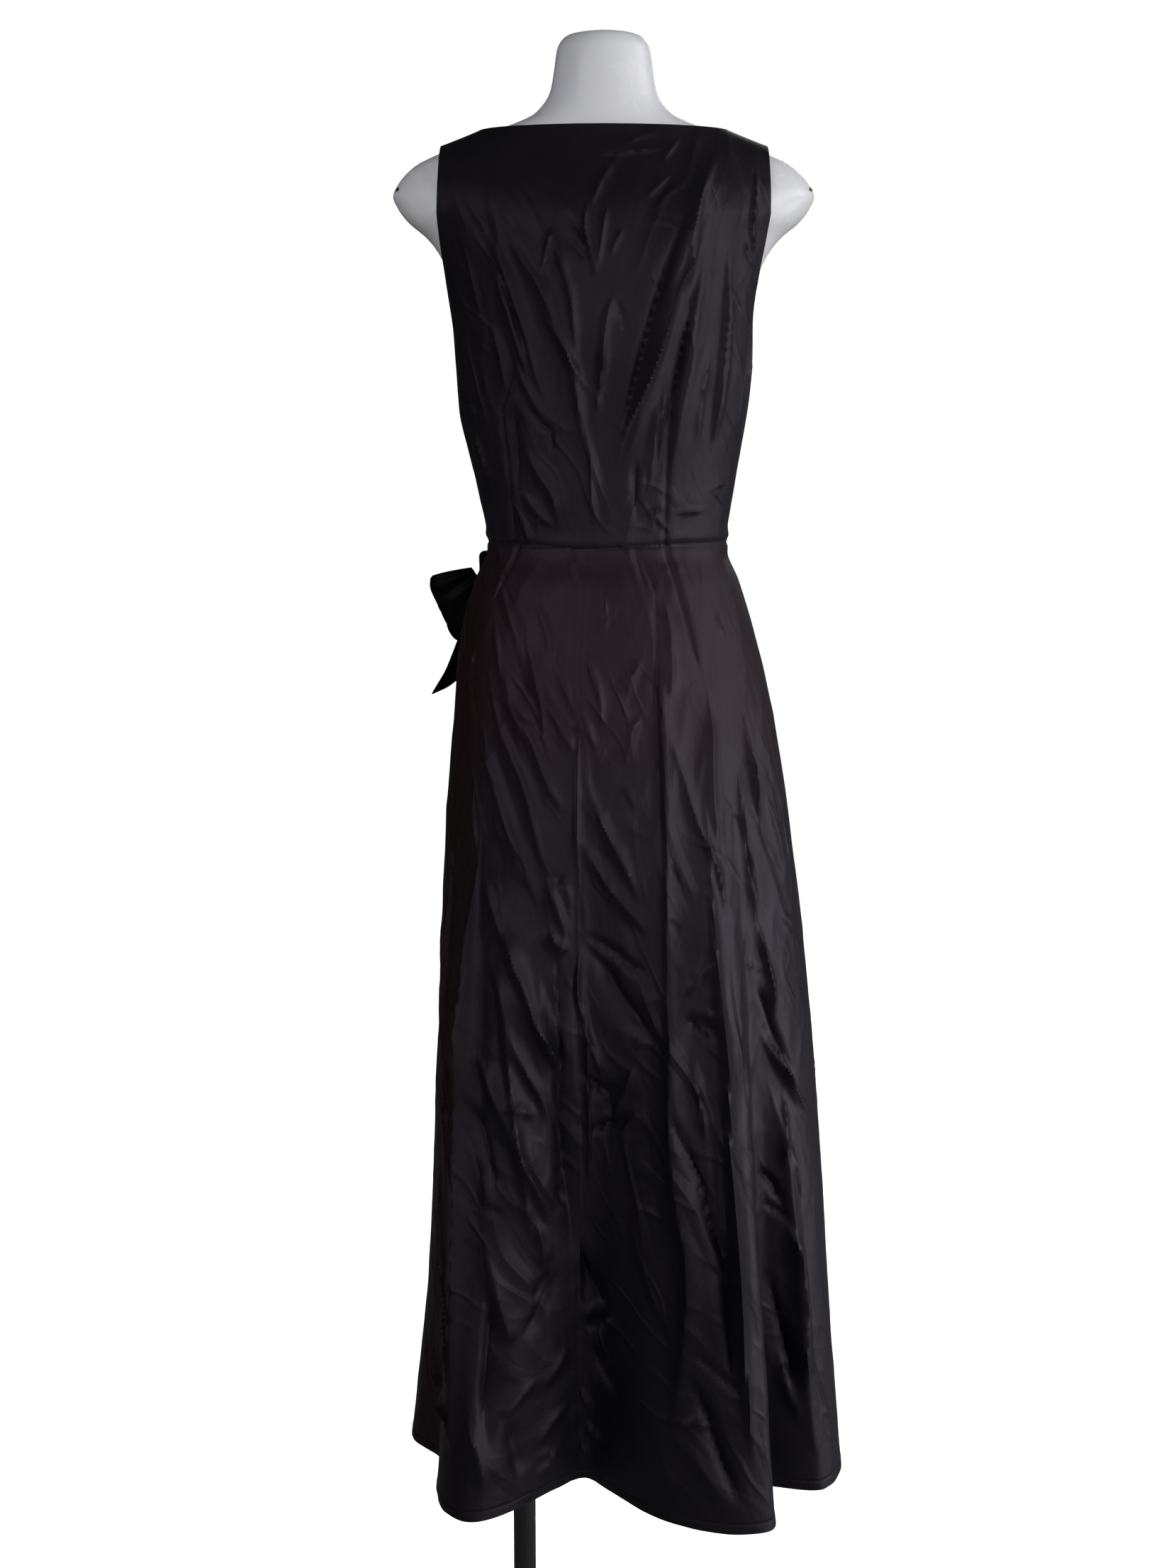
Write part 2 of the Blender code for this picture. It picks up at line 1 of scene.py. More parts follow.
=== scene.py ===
"""Looks of a sleeveless black satin maxi dress with a side bow, on a white dress form.

Metres, +Z up. The dress's back faces +Y and the wearer's left is +X. Bearings run round the body
from the back centre (+Y) towards the wearer's left (+X), in degrees.
"""
from __future__ import annotations

import logging
import math
from dataclasses import dataclass, field
from enum import Enum
from typing import Callable, Iterable, Sequence

import bpy
import numpy as np
from mathutils import Matrix, Vector


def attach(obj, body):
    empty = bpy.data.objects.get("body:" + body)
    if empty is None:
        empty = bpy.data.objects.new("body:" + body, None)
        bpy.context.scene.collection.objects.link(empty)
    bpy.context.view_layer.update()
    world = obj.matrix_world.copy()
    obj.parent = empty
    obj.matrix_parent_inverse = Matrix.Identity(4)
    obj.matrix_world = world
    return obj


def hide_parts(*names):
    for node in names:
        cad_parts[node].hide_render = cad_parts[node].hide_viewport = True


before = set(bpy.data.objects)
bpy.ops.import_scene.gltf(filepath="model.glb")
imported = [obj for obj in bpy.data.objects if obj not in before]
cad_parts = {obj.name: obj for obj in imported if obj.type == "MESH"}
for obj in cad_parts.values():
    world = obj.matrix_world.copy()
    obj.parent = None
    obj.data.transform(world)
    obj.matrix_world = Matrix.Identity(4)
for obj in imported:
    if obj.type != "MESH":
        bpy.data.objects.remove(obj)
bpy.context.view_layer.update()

log = logging.getLogger("maxi_dress")
Array = np.ndarray
Number = float | Array
Piece = bpy.types.Object
Pair = tuple[float, float]
Triple = tuple[float, float, float]

MILLIMETRES = 1000      # in a metre

# ---- sizes that the solids share ----
WALL = 0.0015           # thickness of every cloth piece
SEAM = 0.0003           # gap that the solids keep where pieces are sewn together
SEAT = 0.0045           # outer face of the cloth above the form, where it rests on it
HEM = 0.300
WAIST = 1.279           # waist seam at the sides
WAIST_DIP = 0.006       # how far the seam drops at the centre back
LIFT_START = 1.560      # from here up, the cloth also rises off the form
SHOULDER_BAND = 1.600   # above this height the cloth folds over the shoulders
NECKLINE = 1.686
FRONT_SCOOP = 0.030     # how much lower the neckline is at the centre front
TWIST = 8.5             # the whole dress sits turned this far to the wearer's left
SIDE_SPAN = 89.5        # centre line to side seam
SHOULDER_TIP = 0.1635   # outer end of the shoulder seam, from the axis
NECK_CORNER = 0.121     # inner end of the shoulder seam, from the axis
CORNER_SHARE = 0.705    # where the neck corner's column stands, from centre line to edge
ARMPIT_LEFT = 1.415
ARMPIT_RIGHT = 1.450
ARMPIT_CURVE = 0.075    # height over which the armhole turns from level to upright
FORM_BOTTOM = 0.960
FORM_TOP = 1.780
POLE_X = 0.088          # the pole stands to one side, where a form's leg socket is
BORE_RADIUS = 0.0128
BORE_DEPTH = 0.060
SKIRT_SQUARE = 2.1


# ---- number tools ----
def mix(start: Number, end: Number, share: Number) -> Number:
    """Blend two values, or two arrays of them."""
    return start + (end - start) * share


def clamp(value: Number, low: float = 0.0, high: float = 1.0) -> Number:
    """Keep a value, or an array of them, between two limits."""
    return np.clip(value, low, high)


def half_turn(angle: Number) -> Number:
    """Bring an angle in degrees to between -180 and 180."""
    return (angle + 180) % 360 - 180


def smooth(value: Number) -> Number:
    """Ease from 0 to 1 as the value goes from 0 to 1."""
    value = clamp(value)
    return value * value * (3 - 2 * value)


class Profile:
    """Named columns of sizes read at any height, on smooth curves that never overshoot."""

    def __init__(self, names: Sequence[str], rows: Iterable[Sequence[float]]) -> None:
        """Keep the rows and work out each column's slopes.

        Args:
            names: the columns' names, the height's own left out.
            rows: for each height, the height and the value of each column.
        """
        table = np.array(sorted(rows))
        self.heights = table[:, 0]
        self.columns = {name: table[:, index + 1] for index, name in enumerate(names)}
        self.slopes = {name: self._slopes(values) for name, values in self.columns.items()}

    def _slopes(self, values: Array) -> Array:
        """Work out a column's slopes, so that its curve never overshoots.

        Args:
            values: the column's values.

        Returns:
            The slope at each height: the harmonic mean of those beside it, or none.
        """
        rises = np.diff(values) / np.diff(self.heights)
        slopes = np.concatenate([rises[:1], rises[:-1], rises[-1:]])
        before, after = rises[:-1], rises[1:]
        turning = before * after <= 0
        total = np.where(turning, 1.0, before + after)
        slopes[1:-1] = np.where(turning, 0.0, 2 * before * after / total)
        return slopes

    def at(self, name: str, height: Number) -> Number:
        """Read one column.

        Args:
            name: the column.
            height: a height, or an array of them.

        Returns:
            The column's value at each height.
        """
        heights, values, slopes = self.heights, self.columns[name], self.slopes[name]
        low = clamp(np.searchsorted(heights, height) - 1, 0, len(heights) - 2)
        gap = heights[low + 1] - heights[low]
        share = clamp((height - heights[low]) / gap)
        square, cube = share ** 2, share ** 3
        return ((2 * cube - 3 * square + 1) * values[low]
                + (cube - 2 * square + share) * slopes[low] * gap
                + (3 * square - 2 * cube) * values[low + 1]
                + (cube - square) * slopes[low + 1] * gap)


class Grain:
    """A smooth random field over a flat cloth, the same each time for the same seed."""

    SIZE = 64       # cells each way before the field repeats
    CREST = 0.02    # how far a ridge's crest is rounded
    STEEP = 3.2     # how fast a ridge falls away from its crest
    HOLLOW = 1.3    # how hollow its sides are

    def __init__(self, seed: int) -> None:
        """Draw the field's slopes from the seed."""
        self.turns = np.random.default_rng(seed).uniform(0, 2 * math.pi, (self.SIZE, self.SIZE))

    def at(self, across: Array, along: Array) -> Array:
        """Read the field.

        Args:
            across: places across the cloth, in the field's own cells.
            along: the same along the cloth.

        Returns:
            The field at each place, about -0.7 to 0.7.
        """
        left, low = np.floor(across), np.floor(along)
        x, y = across - left, along - low
        column, row = left.astype(int), low.astype(int)

        def corner(right: int, up: int) -> Array:
            """Return the slope of one corner of each cell, followed to the place."""
            turn = self.turns[(column + right) % self.SIZE, (row + up) % self.SIZE]
            return np.cos(turn) * (x - right) + np.sin(turn) * (y - up)

        fade_x = x ** 3 * (x * (6 * x - 15) + 10)
        fade_y = y ** 3 * (y * (6 * y - 15) + 10)
        return mix(mix(corner(0, 0), corner(1, 0), fade_x),
                   mix(corner(0, 1), corner(1, 1), fade_x), fade_y)

    def ridges(self, across: Array, along: Array) -> Array:
        """Return thin ridges, 0 to 1, where the field crosses zero."""
        return clamp(1 - np.hypot(self.at(across, along), self.CREST) * self.STEEP) ** self.HOLLOW


# ---- the form's and the dress's sections ----
# The dress form: half width, depths to the back and front, and squareness, by height.
FORM = Profile(("side", "back", "front", "square"), [
    (0.960, 0.140, 0.092, 0.090, 2.3), (1.030, 0.147, 0.102, 0.096, 2.3),
    (1.100, 0.146, 0.108, 0.102, 2.2), (1.160, 0.138, 0.102, 0.104, 2.2),
    (1.220, 0.122, 0.086, 0.099, 2.1), (1.275, 0.111, 0.077, 0.092, 2.1),
    (1.340, 0.118, 0.082, 0.099, 2.1), (1.400, 0.130, 0.092, 0.114, 2.1),
    (1.450, 0.141, 0.100, 0.125, 2.1), (1.510, 0.153, 0.105, 0.117, 2.1),
    (1.550, 0.160, 0.103, 0.104, 2.0), (1.567, 0.168, 0.101, 0.099, 1.9),
    (1.581, 0.179, 0.098, 0.094, 1.8), (1.597, 0.198, 0.094, 0.089, 1.75),
    (1.610, 0.208, 0.089, 0.084, 1.7), (1.622, 0.213, 0.083, 0.078, 1.7),
    (1.635, 0.207, 0.075, 0.071, 1.7), (1.652, 0.190, 0.064, 0.061, 1.7),
    (1.664, 0.165, 0.057, 0.055, 1.7), (1.672, 0.145, 0.053, 0.052, 1.75),
    (1.683, 0.117, 0.049, 0.050, 1.8), (1.703, 0.069, 0.046, 0.048, 1.95),
    (1.724, 0.054, 0.044, 0.047, 2.0), (1.745, 0.050, 0.043, 0.046, 2.0),
    (1.764, 0.047, 0.041, 0.044, 2.0), (1.774, 0.041, 0.035, 0.038, 2.0),
    (1.779, 0.030, 0.025, 0.028, 2.0), (1.780, 0.016, 0.013, 0.014, 2.0),
])
# How far the bodice's outer face stands off the form.
EASE = Profile(("left", "right", "back", "front"), [
    (1.270, 0.0085, 0.0160, 0.0130, 0.0090), (1.340, 0.0140, 0.0180, 0.0130, 0.0100),
    (1.400, 0.0170, 0.0160, 0.0090, 0.0070), (1.450, 0.0100, 0.0110, 0.0050, 0.0050),
    (1.510, 0.0050, 0.0045, SEAT, 0.0040), (1.580, 0.0060, 0.0060, 0.0055, 0.0055),
    (1.640, SEAT, SEAT, SEAT, SEAT),
])
# How far each armhole edge stands from the middle.
ARMHOLE = Profile(("back_left", "back_right", "front"), [
    (1.450, 0.1480, 0.1500, 0.139), (1.495, 0.1530, 0.1480, 0.137),
    (1.537, 0.1590, 0.1540, 0.142), (1.579, 0.1640, 0.1610, 0.150),
    (1.600, 0.1655, 0.1640, 0.154),
])
# The skirt's outer face without its folds, as half widths and depths.
SKIRT = Profile(("left", "right", "back", "front"), [
    (1.300, 0.118, 0.126, 0.089, 0.100), (1.272, 0.119, 0.127, 0.090, 0.101),
    (1.235, 0.134, 0.141, 0.105, 0.110), (1.175, 0.150, 0.160, 0.120, 0.120),
    (1.100, 0.157, 0.178, 0.132, 0.132), (0.947, 0.169, 0.203, 0.150, 0.150),
    (0.711, 0.180, 0.229, 0.172, 0.172), (0.465, 0.190, 0.243, 0.192, 0.194),
    (0.300, 0.197, 0.248, 0.205, 0.208),
])


@dataclass(frozen=True)
class Section:
    """A level section: half widths to either side, depths to back and front, and squareness."""

    left: Array
    right: Array
    back: Array
    front: Array
    square: Array | float

    def point(self, angle: Array) -> tuple[Array, Array]:
        """Find a point of the outline, where (x / half) ** square + (y / depth) ** 2 = 1.

        Args:
            angle: the outline's own angle round the body, in degrees.

        Returns:
            The point's x and y.
        """
        across, deep = np.sin(np.radians(angle)), np.cos(np.radians(angle))
        half = np.where(across >= 0, self.left, self.right)
        depth = np.where(deep >= 0, self.back, self.front)
        return np.sign(across) * half * np.abs(across) ** (2 / self.square), depth * deep

    def holds(self, x: Array, y: Array) -> Array:
        """Say which points lie inside the section.

        Args:
            x: the points' x.
            y: the points' y.

        Returns:
            True for each point inside.
        """
        half = np.where(x >= 0, self.left, self.right)
        depth = np.where(y >= 0, self.back, self.front)
        return (np.abs(x) / half) ** self.square + (y / depth) ** 2 < 1


def form_section(height: Number) -> Section:
    """Return the dress form's section at a height."""
    side, back, front, square = (FORM.at(name, height) for name in FORM.columns)
    return Section(side, side, back, front, square)


def bodice_section(height: Number) -> Section:
    """Give the form's section the bodice's ease, lifted by the seat over the shoulders.

    Args:
        height: a height, or an array of them.

    Returns:
        The section of the bodice's outer face there.
    """
    lift = SEAT * smooth((height - LIFT_START) / (SHOULDER_BAND - LIFT_START))
    form = form_section(height - lift)
    return Section(*(getattr(form, name) + EASE.at(name, height) for name in EASE.columns),
                   form.square)


def skirt_section(height: Number) -> Section:
    """Return the skirt's section at a height, without its folds."""
    return Section(*(SKIRT.at(name, height) for name in SKIRT.columns), SKIRT_SQUARE)


def halved(holds: Callable[[Array], Array], like: Array, far: float, rounds: int) -> Array:
    """Find how far out a test holds, by halving the stretch where it ends.

    Args:
        holds: says, for a distance from the start, where it is still inside.
        like: an array of the wanted shape.
        far: a distance that is outside everywhere.
        rounds: how many times the stretch is halved.

    Returns:
        The last distance inside.
    """
    near, far = np.zeros_like(like), np.full_like(like, far)
    for _ in range(rounds):
        middle = (near + far) / 2
        inside = holds(middle)
        near, far = np.where(inside, middle, near), np.where(inside, far, middle)
    return near


def reach_of(section: Section, bearing: Array) -> Array:
    """Return how far a section reaches from the axis at each bearing."""
    across, deep = np.sin(np.radians(bearing)), np.cos(np.radians(bearing))
    return halved(lambda out: section.holds(across * out, deep * out), bearing, 0.4, 22)


def waist_height(angle: Number) -> Number:
    """Return the waist seam's height, which dips at the centre back."""
    return WAIST - WAIST_DIP * (1 - smooth(np.abs(half_turn(angle - TWIST)) / 45))


# ---- folds and creases ----
@dataclass(frozen=True)
class Fold:
    """A long fold of the skirt, from where it fades out at its top down to the hem."""

    name: str
    angle_top: float
    angle_hem: float
    top: float
    reach: float
    fade_left: float
    fade_right: float
    power: float

    def at(self, bearing: Array, height: Array) -> Array:
        """Work out the fold's part in the skirt's shape.

        Args:
            bearing: the points' bearings, in degrees.
            height: their heights.

        Returns:
            How far the fold moves each point out.
        """
        drop = clamp((self.top - height) / (self.top - HEM))
        turn = half_turn(bearing - mix(self.angle_top, self.angle_hem, drop))
        fade = np.where(turn > 0, self.fade_left, self.fade_right)
        wave = np.cos(math.pi / 2 * clamp(np.abs(turn) / fade)) ** 2
        return self.reach * drop ** self.power * wave


FOLDS = [
    Fold("left seam flute", 84, 76, 0.62, 0.018, 22, 16, 2.0),
    Fold("back left flute", 40, 33, 1.00, 0.064, 30, 15, 1.3),
    Fold("centre back valley", 2, 8, 1.12, -0.064, 20, 24, 1.2),
    Fold("back right flute", -42, -34, 1.16, 0.078, 30, 13, 1.3),
    Fold("right seam flute", -62, -55, 0.86, 0.050, 9, 34, 1.4),
    Fold("front left flute", 118, 124, 0.90, 0.042, 20, 22, 1.4),
    Fold("front left valley", 146, 148, 0.95, -0.034, 16, 16, 1.4),
    Fold("front flute", 168, 172, 1.02, 0.046, 20, 18, 1.3),
    Fold("front right valley", 196, 198, 0.95, -0.036, 18, 16, 1.4),
    Fold("front right flute", 222, 224, 0.98, 0.050, 18, 22, 1.3),
    Fold("right side valley", 248, 250, 0.80, -0.020, 14, 14, 1.4),
]


@dataclass(frozen=True)
class Chart:
    """Where each point of a cloth lies, as the creases are placed on it.

    across is metres round the body on the bodice and bearing in degrees on the skirt, and scale
    turns one unit of it into metres. Everything is an array of rows by columns.
    """

    across: Array
    height: Array
    scale: Array


@dataclass(frozen=True)
class Crease:
    """A soft ridge or trough pressed into the cloth along a line.

    line holds (across, height) points of the chart, lift is how far it stands out in metres, and
    left and right are how wide it fades to the wearer's left and right of a line drawn downwards.
    """

    line: tuple[Pair, ...]
    lift: float
    left: float
    right: float

    FADE = 0.35                 # share of the line over which either end fades out
    CREST = 0.06                # how far the crest is rounded, as a share of the width
    SPREAD = (0.68, 0.27, 2.0)  # width for no lift, its gain for each millimetre, and its most
    DEPTH = (2.1, 0.3, 3.2)     # the same for the lift
    FLANK = 1.2                 # hollowness of the broad flank
    EDGE = 4.5                  # hollowness of the crisp edge on it
    END_WIDTH = 0.45            # width at a faded end, as a share of the width at the middle

    def path(self) -> Array:
        """Draw a smooth curve through the line's points.

        Returns:
            The curve's points, a quarter of a stretch apart.
        """
        points = np.array(self.line, dtype=float)
        ends = np.vstack([2 * points[0] - points[1], points, 2 * points[-1] - points[-2]])
        steps = []
        for before, first, second, after in zip(ends, ends[1:], ends[2:], ends[3:]):
            for share in np.linspace(0, 1, 5)[:-1]:
                steps.append(0.5 * (2 * first + (second - before) * share
                                    + (2 * before - 5 * first + 4 * second - after) * share ** 2
                                    + (3 * first - before - 3 * second + after) * share ** 3))
        return np.array(steps + [points[-1]])

    def at(self, chart: Chart) -> Array:
        """Press the crease into a cloth.

        Args:
            chart: where the cloth's points lie.

        Returns:
            How far the crease moves each point out.
        """
        path = self.path()
        nearest = np.full(chart.height.shape, 1e9)
        share = np.zeros_like(nearest)
        side = np.ones_like(nearest)
        count = len(path) - 1
        for index, (first, second) in enumerate(zip(path, path[1:])):
            along_x = (second[0] - first[0]) * chart.scale
            along_z = second[1] - first[1]
            off_x = (chart.across - first[0]) * chart.scale
            off_z = chart.height - first[1]
            place = clamp((off_x * along_x + off_z * along_z)
                          / (along_x ** 2 + along_z ** 2 + 1e-12))
            gap_x, gap_z = off_x - along_x * place, off_z - along_z * place
            gap = np.hypot(gap_x, gap_z)
            closer = gap < nearest
            nearest = np.where(closer, gap, nearest)
            share = np.where(closer, (index + place) / count, share)
            side = np.where(closer, along_x * gap_z - along_z * gap_x, side)
        strength = smooth(share / self.FADE) * smooth((1 - share) / self.FADE)
        size = abs(self.lift) * MILLIMETRES
        spread, depth = (min(base + gain * size, most) for base, gain, most in
                         (self.SPREAD, self.DEPTH))
        width = np.where(side > 0, self.left, self.right) * spread * (
            self.END_WIDTH + (1 - self.END_WIDTH) * strength)
        ratio = np.hypot(nearest / width, self.CREST) - self.CREST
        fade = clamp(1 - ratio / (math.hypot(1, self.CREST) - self.CREST))
        return self.lift * depth * strength * (fade ** self.FLANK + fade ** self.EDGE) / 2


def creases(rows: Iterable[Sequence], unit: float = 1) -> list[Crease]:
    """Turn rows of numbers into creases.

    Args:
        rows: a lift, a left and a right fade, and points as (across, height). All are in
            millimetres but the places across.
        unit: how many of the places' units make one of the chart's.

    Returns:
        A crease for each row.
    """
    return [Crease(tuple((across / unit, height / MILLIMETRES) for across, height in line),
                   lift / MILLIMETRES, left / MILLIMETRES, right / MILLIMETRES)
            for lift, left, right, *line in rows]


def pressed(lines: Iterable[Crease], chart: Chart) -> Array:
    """Return how far all the creases together move each point out."""
    return sum((crease.at(chart) for crease in lines), np.zeros_like(chart.height))


# ---- mesh tools ----
def select_only(piece: Piece | None = None) -> None:
    """Select one piece and nothing else, or nothing at all, before an operator acts.

    Args:
        piece: the piece, which also becomes the active one.
    """
    bpy.ops.object.select_all(action="DESELECT")
    if piece is not None:
        piece.select_set(True)
        bpy.context.view_layer.objects.active = piece


def apply_all(piece: Piece) -> None:
    """Apply every modifier in order.

    Args:
        piece: the piece that has them.
    """
    select_only(piece)
    for modifier in list(piece.modifiers):
        bpy.ops.object.modifier_apply(modifier=modifier.name)


def finish_shading(piece: Piece, angle: float = 50) -> None:
    """Shade a piece smooth, with edges sharper than an angle in degrees kept crisp."""
    select_only(piece)
    bpy.ops.object.shade_smooth_by_angle(angle=math.radians(angle))


def settle(piece: Piece) -> None:
    """Move a piece's place, turn and size into its mesh."""
    select_only(piece)
    bpy.ops.object.transform_apply(location=True, rotation=True, scale=True)


def outward_normals(points: Array) -> Array:
    """Return the unit normals of a grid of points, on the side that columns x rows gives."""
    normal = np.cross(np.gradient(points, axis=1), np.gradient(points, axis=0))
    return normal / np.maximum(np.linalg.norm(normal, axis=2, keepdims=True), 1e-12)


def lengths(points: Array, axis: int) -> Array:
    """Measure a grid of points along its rows or columns.

    Args:
        points: rows by columns by 3.
        axis: 1 to measure along each row, 0 along each column.

    Returns:
        How far along each point lies, from the first.
    """
    steps = np.linalg.norm(np.diff(points, axis=axis), axis=2)
    return np.concatenate([np.zeros_like(steps.take([0], axis)), np.cumsum(steps, axis)], axis)


def lay_grid(name: str, points: Array) -> Piece:
    """Add a grid and move its points to their places.

    Args:
        name: the piece's name.
        points: rows by columns by 3.

    Returns:
        The piece.
    """
    rows, columns = points.shape[:2]
    select_only()
    bpy.ops.mesh.primitive_grid_add(x_subdivisions=columns - 1, y_subdivisions=rows - 1, size=1)
    piece = bpy.context.object
    piece.name = piece.data.name = name
    if len(piece.data.vertices) != rows * columns:
        raise ValueError(f"{name}: the grid has {len(piece.data.vertices)} points")
    piece.data.vertices.foreach_set("co", points.reshape(-1))
    piece.data.update()
    return piece


def make_sheet(name: str, points: Array, flat: Array, facing: float = 1.0) -> Piece:
    """Make a piece of cloth from its outer face, with its wall on the inner side.

    Args:
        name: the piece's name.
        points: outer face, rows by columns by 3.
        flat: where each point lies on the flat cloth, in metres, rows by columns by 2.
        facing: below 0 where columns x rows points inwards, so the rows are turned round.

    Returns:
        The finished piece, with its flat places as its UV map.
    """
    if facing < 0:
        points, flat = points[:, ::-1], flat[:, ::-1]
    piece = lay_grid(name, points)
    mesh = piece.data
    corners = np.empty(len(mesh.loops), dtype=np.int32)
    mesh.loops.foreach_get("vertex_index", corners)
    mesh.uv_layers.active.data.foreach_set("uv", flat.reshape(-1, 2)[corners].reshape(-1))
    mesh.update()
    thickness = piece.modifiers.new("wall", "SOLIDIFY")
    thickness.thickness = WALL
    thickness.offset = -1
    apply_all(piece)
    finish_shading(piece)
    return piece


def crowded(start: float, end: float, step: float, marks: Sequence[float],
            close: float, spread: float) -> Array:
    """Divide a stretch into steps that shrink near its marks.

    Args:
        start: where the stretch starts.
        end: where it ends.
        step: the usual step.
        marks: places where the steps shrink.
        close: how many times smaller a step is at a mark.
        spread: how far from a mark the steps grow back.

    Returns:
        The places of the divisions, both ends among them.
    """
    places = np.linspace(start, end, 2000)
    density = np.ones_like(places)
    for mark in marks:
        density += (close - 1) * np.exp(-((places - mark) / spread) ** 2)
    total = np.concatenate([[0], np.cumsum((density[1:] + density[:-1]) / 2 * np.diff(places))])
    count = max(2, int(round(abs(total[-1]) / step)))
    return np.interp(np.linspace(0, total[-1], count + 1), total, places)


# ---- shader tools ----
class Wire:
    """A shader socket that adds Math nodes when it is used in sums."""

    def __init__(self, board: Tree, socket: bpy.types.NodeSocket) -> None:
        """Wrap a socket of a tree."""
        self.board, self.socket = board, socket

    def _sum(self, kind: str, *values: Wire | float) -> Wire:
        """Add one Math node on some values."""
        return self.board.node("ShaderNodeMath", {"operation": kind}, dict(enumerate(values)))

    def __add__(self, other: Wire | float) -> Wire:
        """Add."""
        return self._sum("ADD", self, other)

    def __sub__(self, other: Wire | float) -> Wire:
        """Subtract."""
        return self._sum("SUBTRACT", self, other)

    def __rsub__(self, other: float) -> Wire:
        """Subtract from a number."""
        return self._sum("SUBTRACT", other, self)

    def __mul__(self, other: Wire | float) -> Wire:
        """Multiply."""
        return self._sum("MULTIPLY", self, other)

    def __truediv__(self, other: Wire | float) -> Wire:
        """Divide."""
        return self._sum("DIVIDE", self, other)

    def __pow__(self, other: float) -> Wire:
        """Raise to a power."""
        return self._sum("POWER", self, other)

    __radd__ = __add__
    __rmul__ = __mul__

    def above(self, level: float) -> Wire:
        """Return 1 where the value is above a level."""
        return self._sum("GREATER_THAN", self, level)

    def upto(self, level: float) -> Wire:
        """Return the value, no higher than a level."""
        return self._sum("MINIMUM", self, level)

    def size(self) -> Wire:
        """Return the value without its sign."""
        return self._sum("ABSOLUTE", self)

    def part(self, cell: float) -> Wire:
        """Return the share of the way through a repeated cell."""
        return self._sum("FRACT", self * (1 / cell))

    def wave(self) -> Wire:
        """Return the sine of the value."""
        return self._sum("SINE", self)

    def step(self, low: float, high: float) -> Wire:
        """Ease from 0 at one value to 1 at another."""
        settings = {"interpolation_type": "SMOOTHSTEP", "clamp": True}
        return self.board.node("ShaderNodeMapRange", settings, {0: self, 1: low, 2: high})


class Tree:
    """A node tree that nodes are added to."""

    def __init__(self, owner: bpy.types.Material | bpy.types.World) -> None:
        """Open the tree of a material or of the studio's air."""
        owner.use_nodes = True
        self.nodes, self.links = owner.node_tree.nodes, owner.node_tree.links

    def node(self, kind: str, settings: dict | None = None,
             inputs: dict | None = None, output: int | str = 0) -> Wire:
        """Add a node.

        Args:
            kind: the node's type.
            settings: its properties, set before its sockets.
            inputs: values or wires for its sockets, by name or number.
            output: the socket that is returned.

        Returns:
            The chosen output, wrapped.
        """
        made = self.nodes.new(kind)
        for name, value in (settings or {}).items():
            setattr(made, name, value)
        for place, value in (inputs or {}).items():
            if isinstance(value, Wire):
                self.links.new(value.socket, made.inputs[place])
            else:
                made.inputs[place].default_value = value
        return Wire(self, made.outputs[output])


class Board(Tree):
    """One material's node tree, with a Principled shader."""

    def __init__(self, name: str) -> None:
        """Start a material.

        Args:
            name: the material's name.
        """
        self.material = bpy.data.materials.new(name)
        super().__init__(self.material)
        self.shader = self.nodes["Principled BSDF"]

    def grain(self, where: Wire, scale: float, detail: float = 2.0, rough: float = 0.5,
              warp: float = 0.0) -> Wire:
        """Add a noise field.

        Args:
            where: the coordinates that it covers.
            scale: cells for each unit of them.
            detail: how many finer layers it has.
            rough: how strong each finer layer is.
            warp: how far it is bent out of shape.

        Returns:
            The field, 0 to 1.
        """
        inputs = {"Vector": where, "Scale": scale, "Detail": detail, "Roughness": rough,
                  "Distortion": warp}
        return self.node("ShaderNodeTexNoise", None, inputs)

    def stretched(self, where: Wire, size: Triple, turn: float = 0.0) -> Wire:
        """Scale coordinates and turn them about the Z axis.

        Args:
            where: the coordinates.
            size: how many cells fit in a metre, each way.
            turn: the turn, in degrees.

        Returns:
            The new coordinates.
        """
        inputs = {"Vector": where, "Scale": tuple(1 / part for part in size),
                  "Rotation": (0, 0, math.radians(turn))}
        return self.node("ShaderNodeMapping", {"vector_type": "TEXTURE"}, inputs)

    def lines(self, where: Wire, size: Triple, turn: float, width: float) -> Wire:
        """Return thin winding ridges with sharp crests, 0 to 1, stretched and turned."""
        field = self.grain(self.stretched(where, size, turn), 1.0, 1.0, 0.4, 0.15)
        return 1 - ((field - 0.5).size() / width).upto(1.0)

    def split(self, where: Wire) -> list[Wire]:
        """Return the three parts of a vector."""
        first = self.node("ShaderNodeSeparateXYZ", None, {0: where})
        return [Wire(self, socket) for socket in first.socket.node.outputs]

    def blend(self, share: Wire | float, first: Wire | Triple, second: Wire | Triple) -> Wire:
        """Blend two colours.

        Args:
            share: how much of the second colour there is.
            first: a colour.
            second: the other colour.

        Returns:
            The blend.
        """
        inputs = {place: (*value, 1.0) if isinstance(value, tuple) else value
                  for place, value in ((0, share), (6, first), (7, second))}
        return self.node("ShaderNodeMix", {"data_type": "RGBA"}, inputs, 2)

    def bump(self, height: Wire, distance: float, strength: float = 1.0,
             below: Wire | None = None) -> Wire:
        """Raise a surface's normal by a height field.

        Args:
            height: the field.
            distance: how far 1 stands out, in metres.
            strength: how strongly it shows.
            below: another bump, which this one lies over.

        Returns:
            The normal.
        """
        inputs = {"Height": height, "Distance": distance, "Strength": strength}
        if below is not None:
            inputs["Normal"] = below
        return self.node("ShaderNodeBump", None, inputs)

    def feed(self, **values: Wire | float | tuple) -> None:
        """Link or set the shader's sockets.

        Args:
            values: a wire or value for each socket, named with _ for each space.
        """
        for name, value in values.items():
            socket = self.shader.inputs[name.replace("_", " ")]
            if isinstance(value, Wire):
                self.links.new(value.socket, socket)
            else:
                socket.default_value = (*value, 1.0) if isinstance(value, tuple) else value


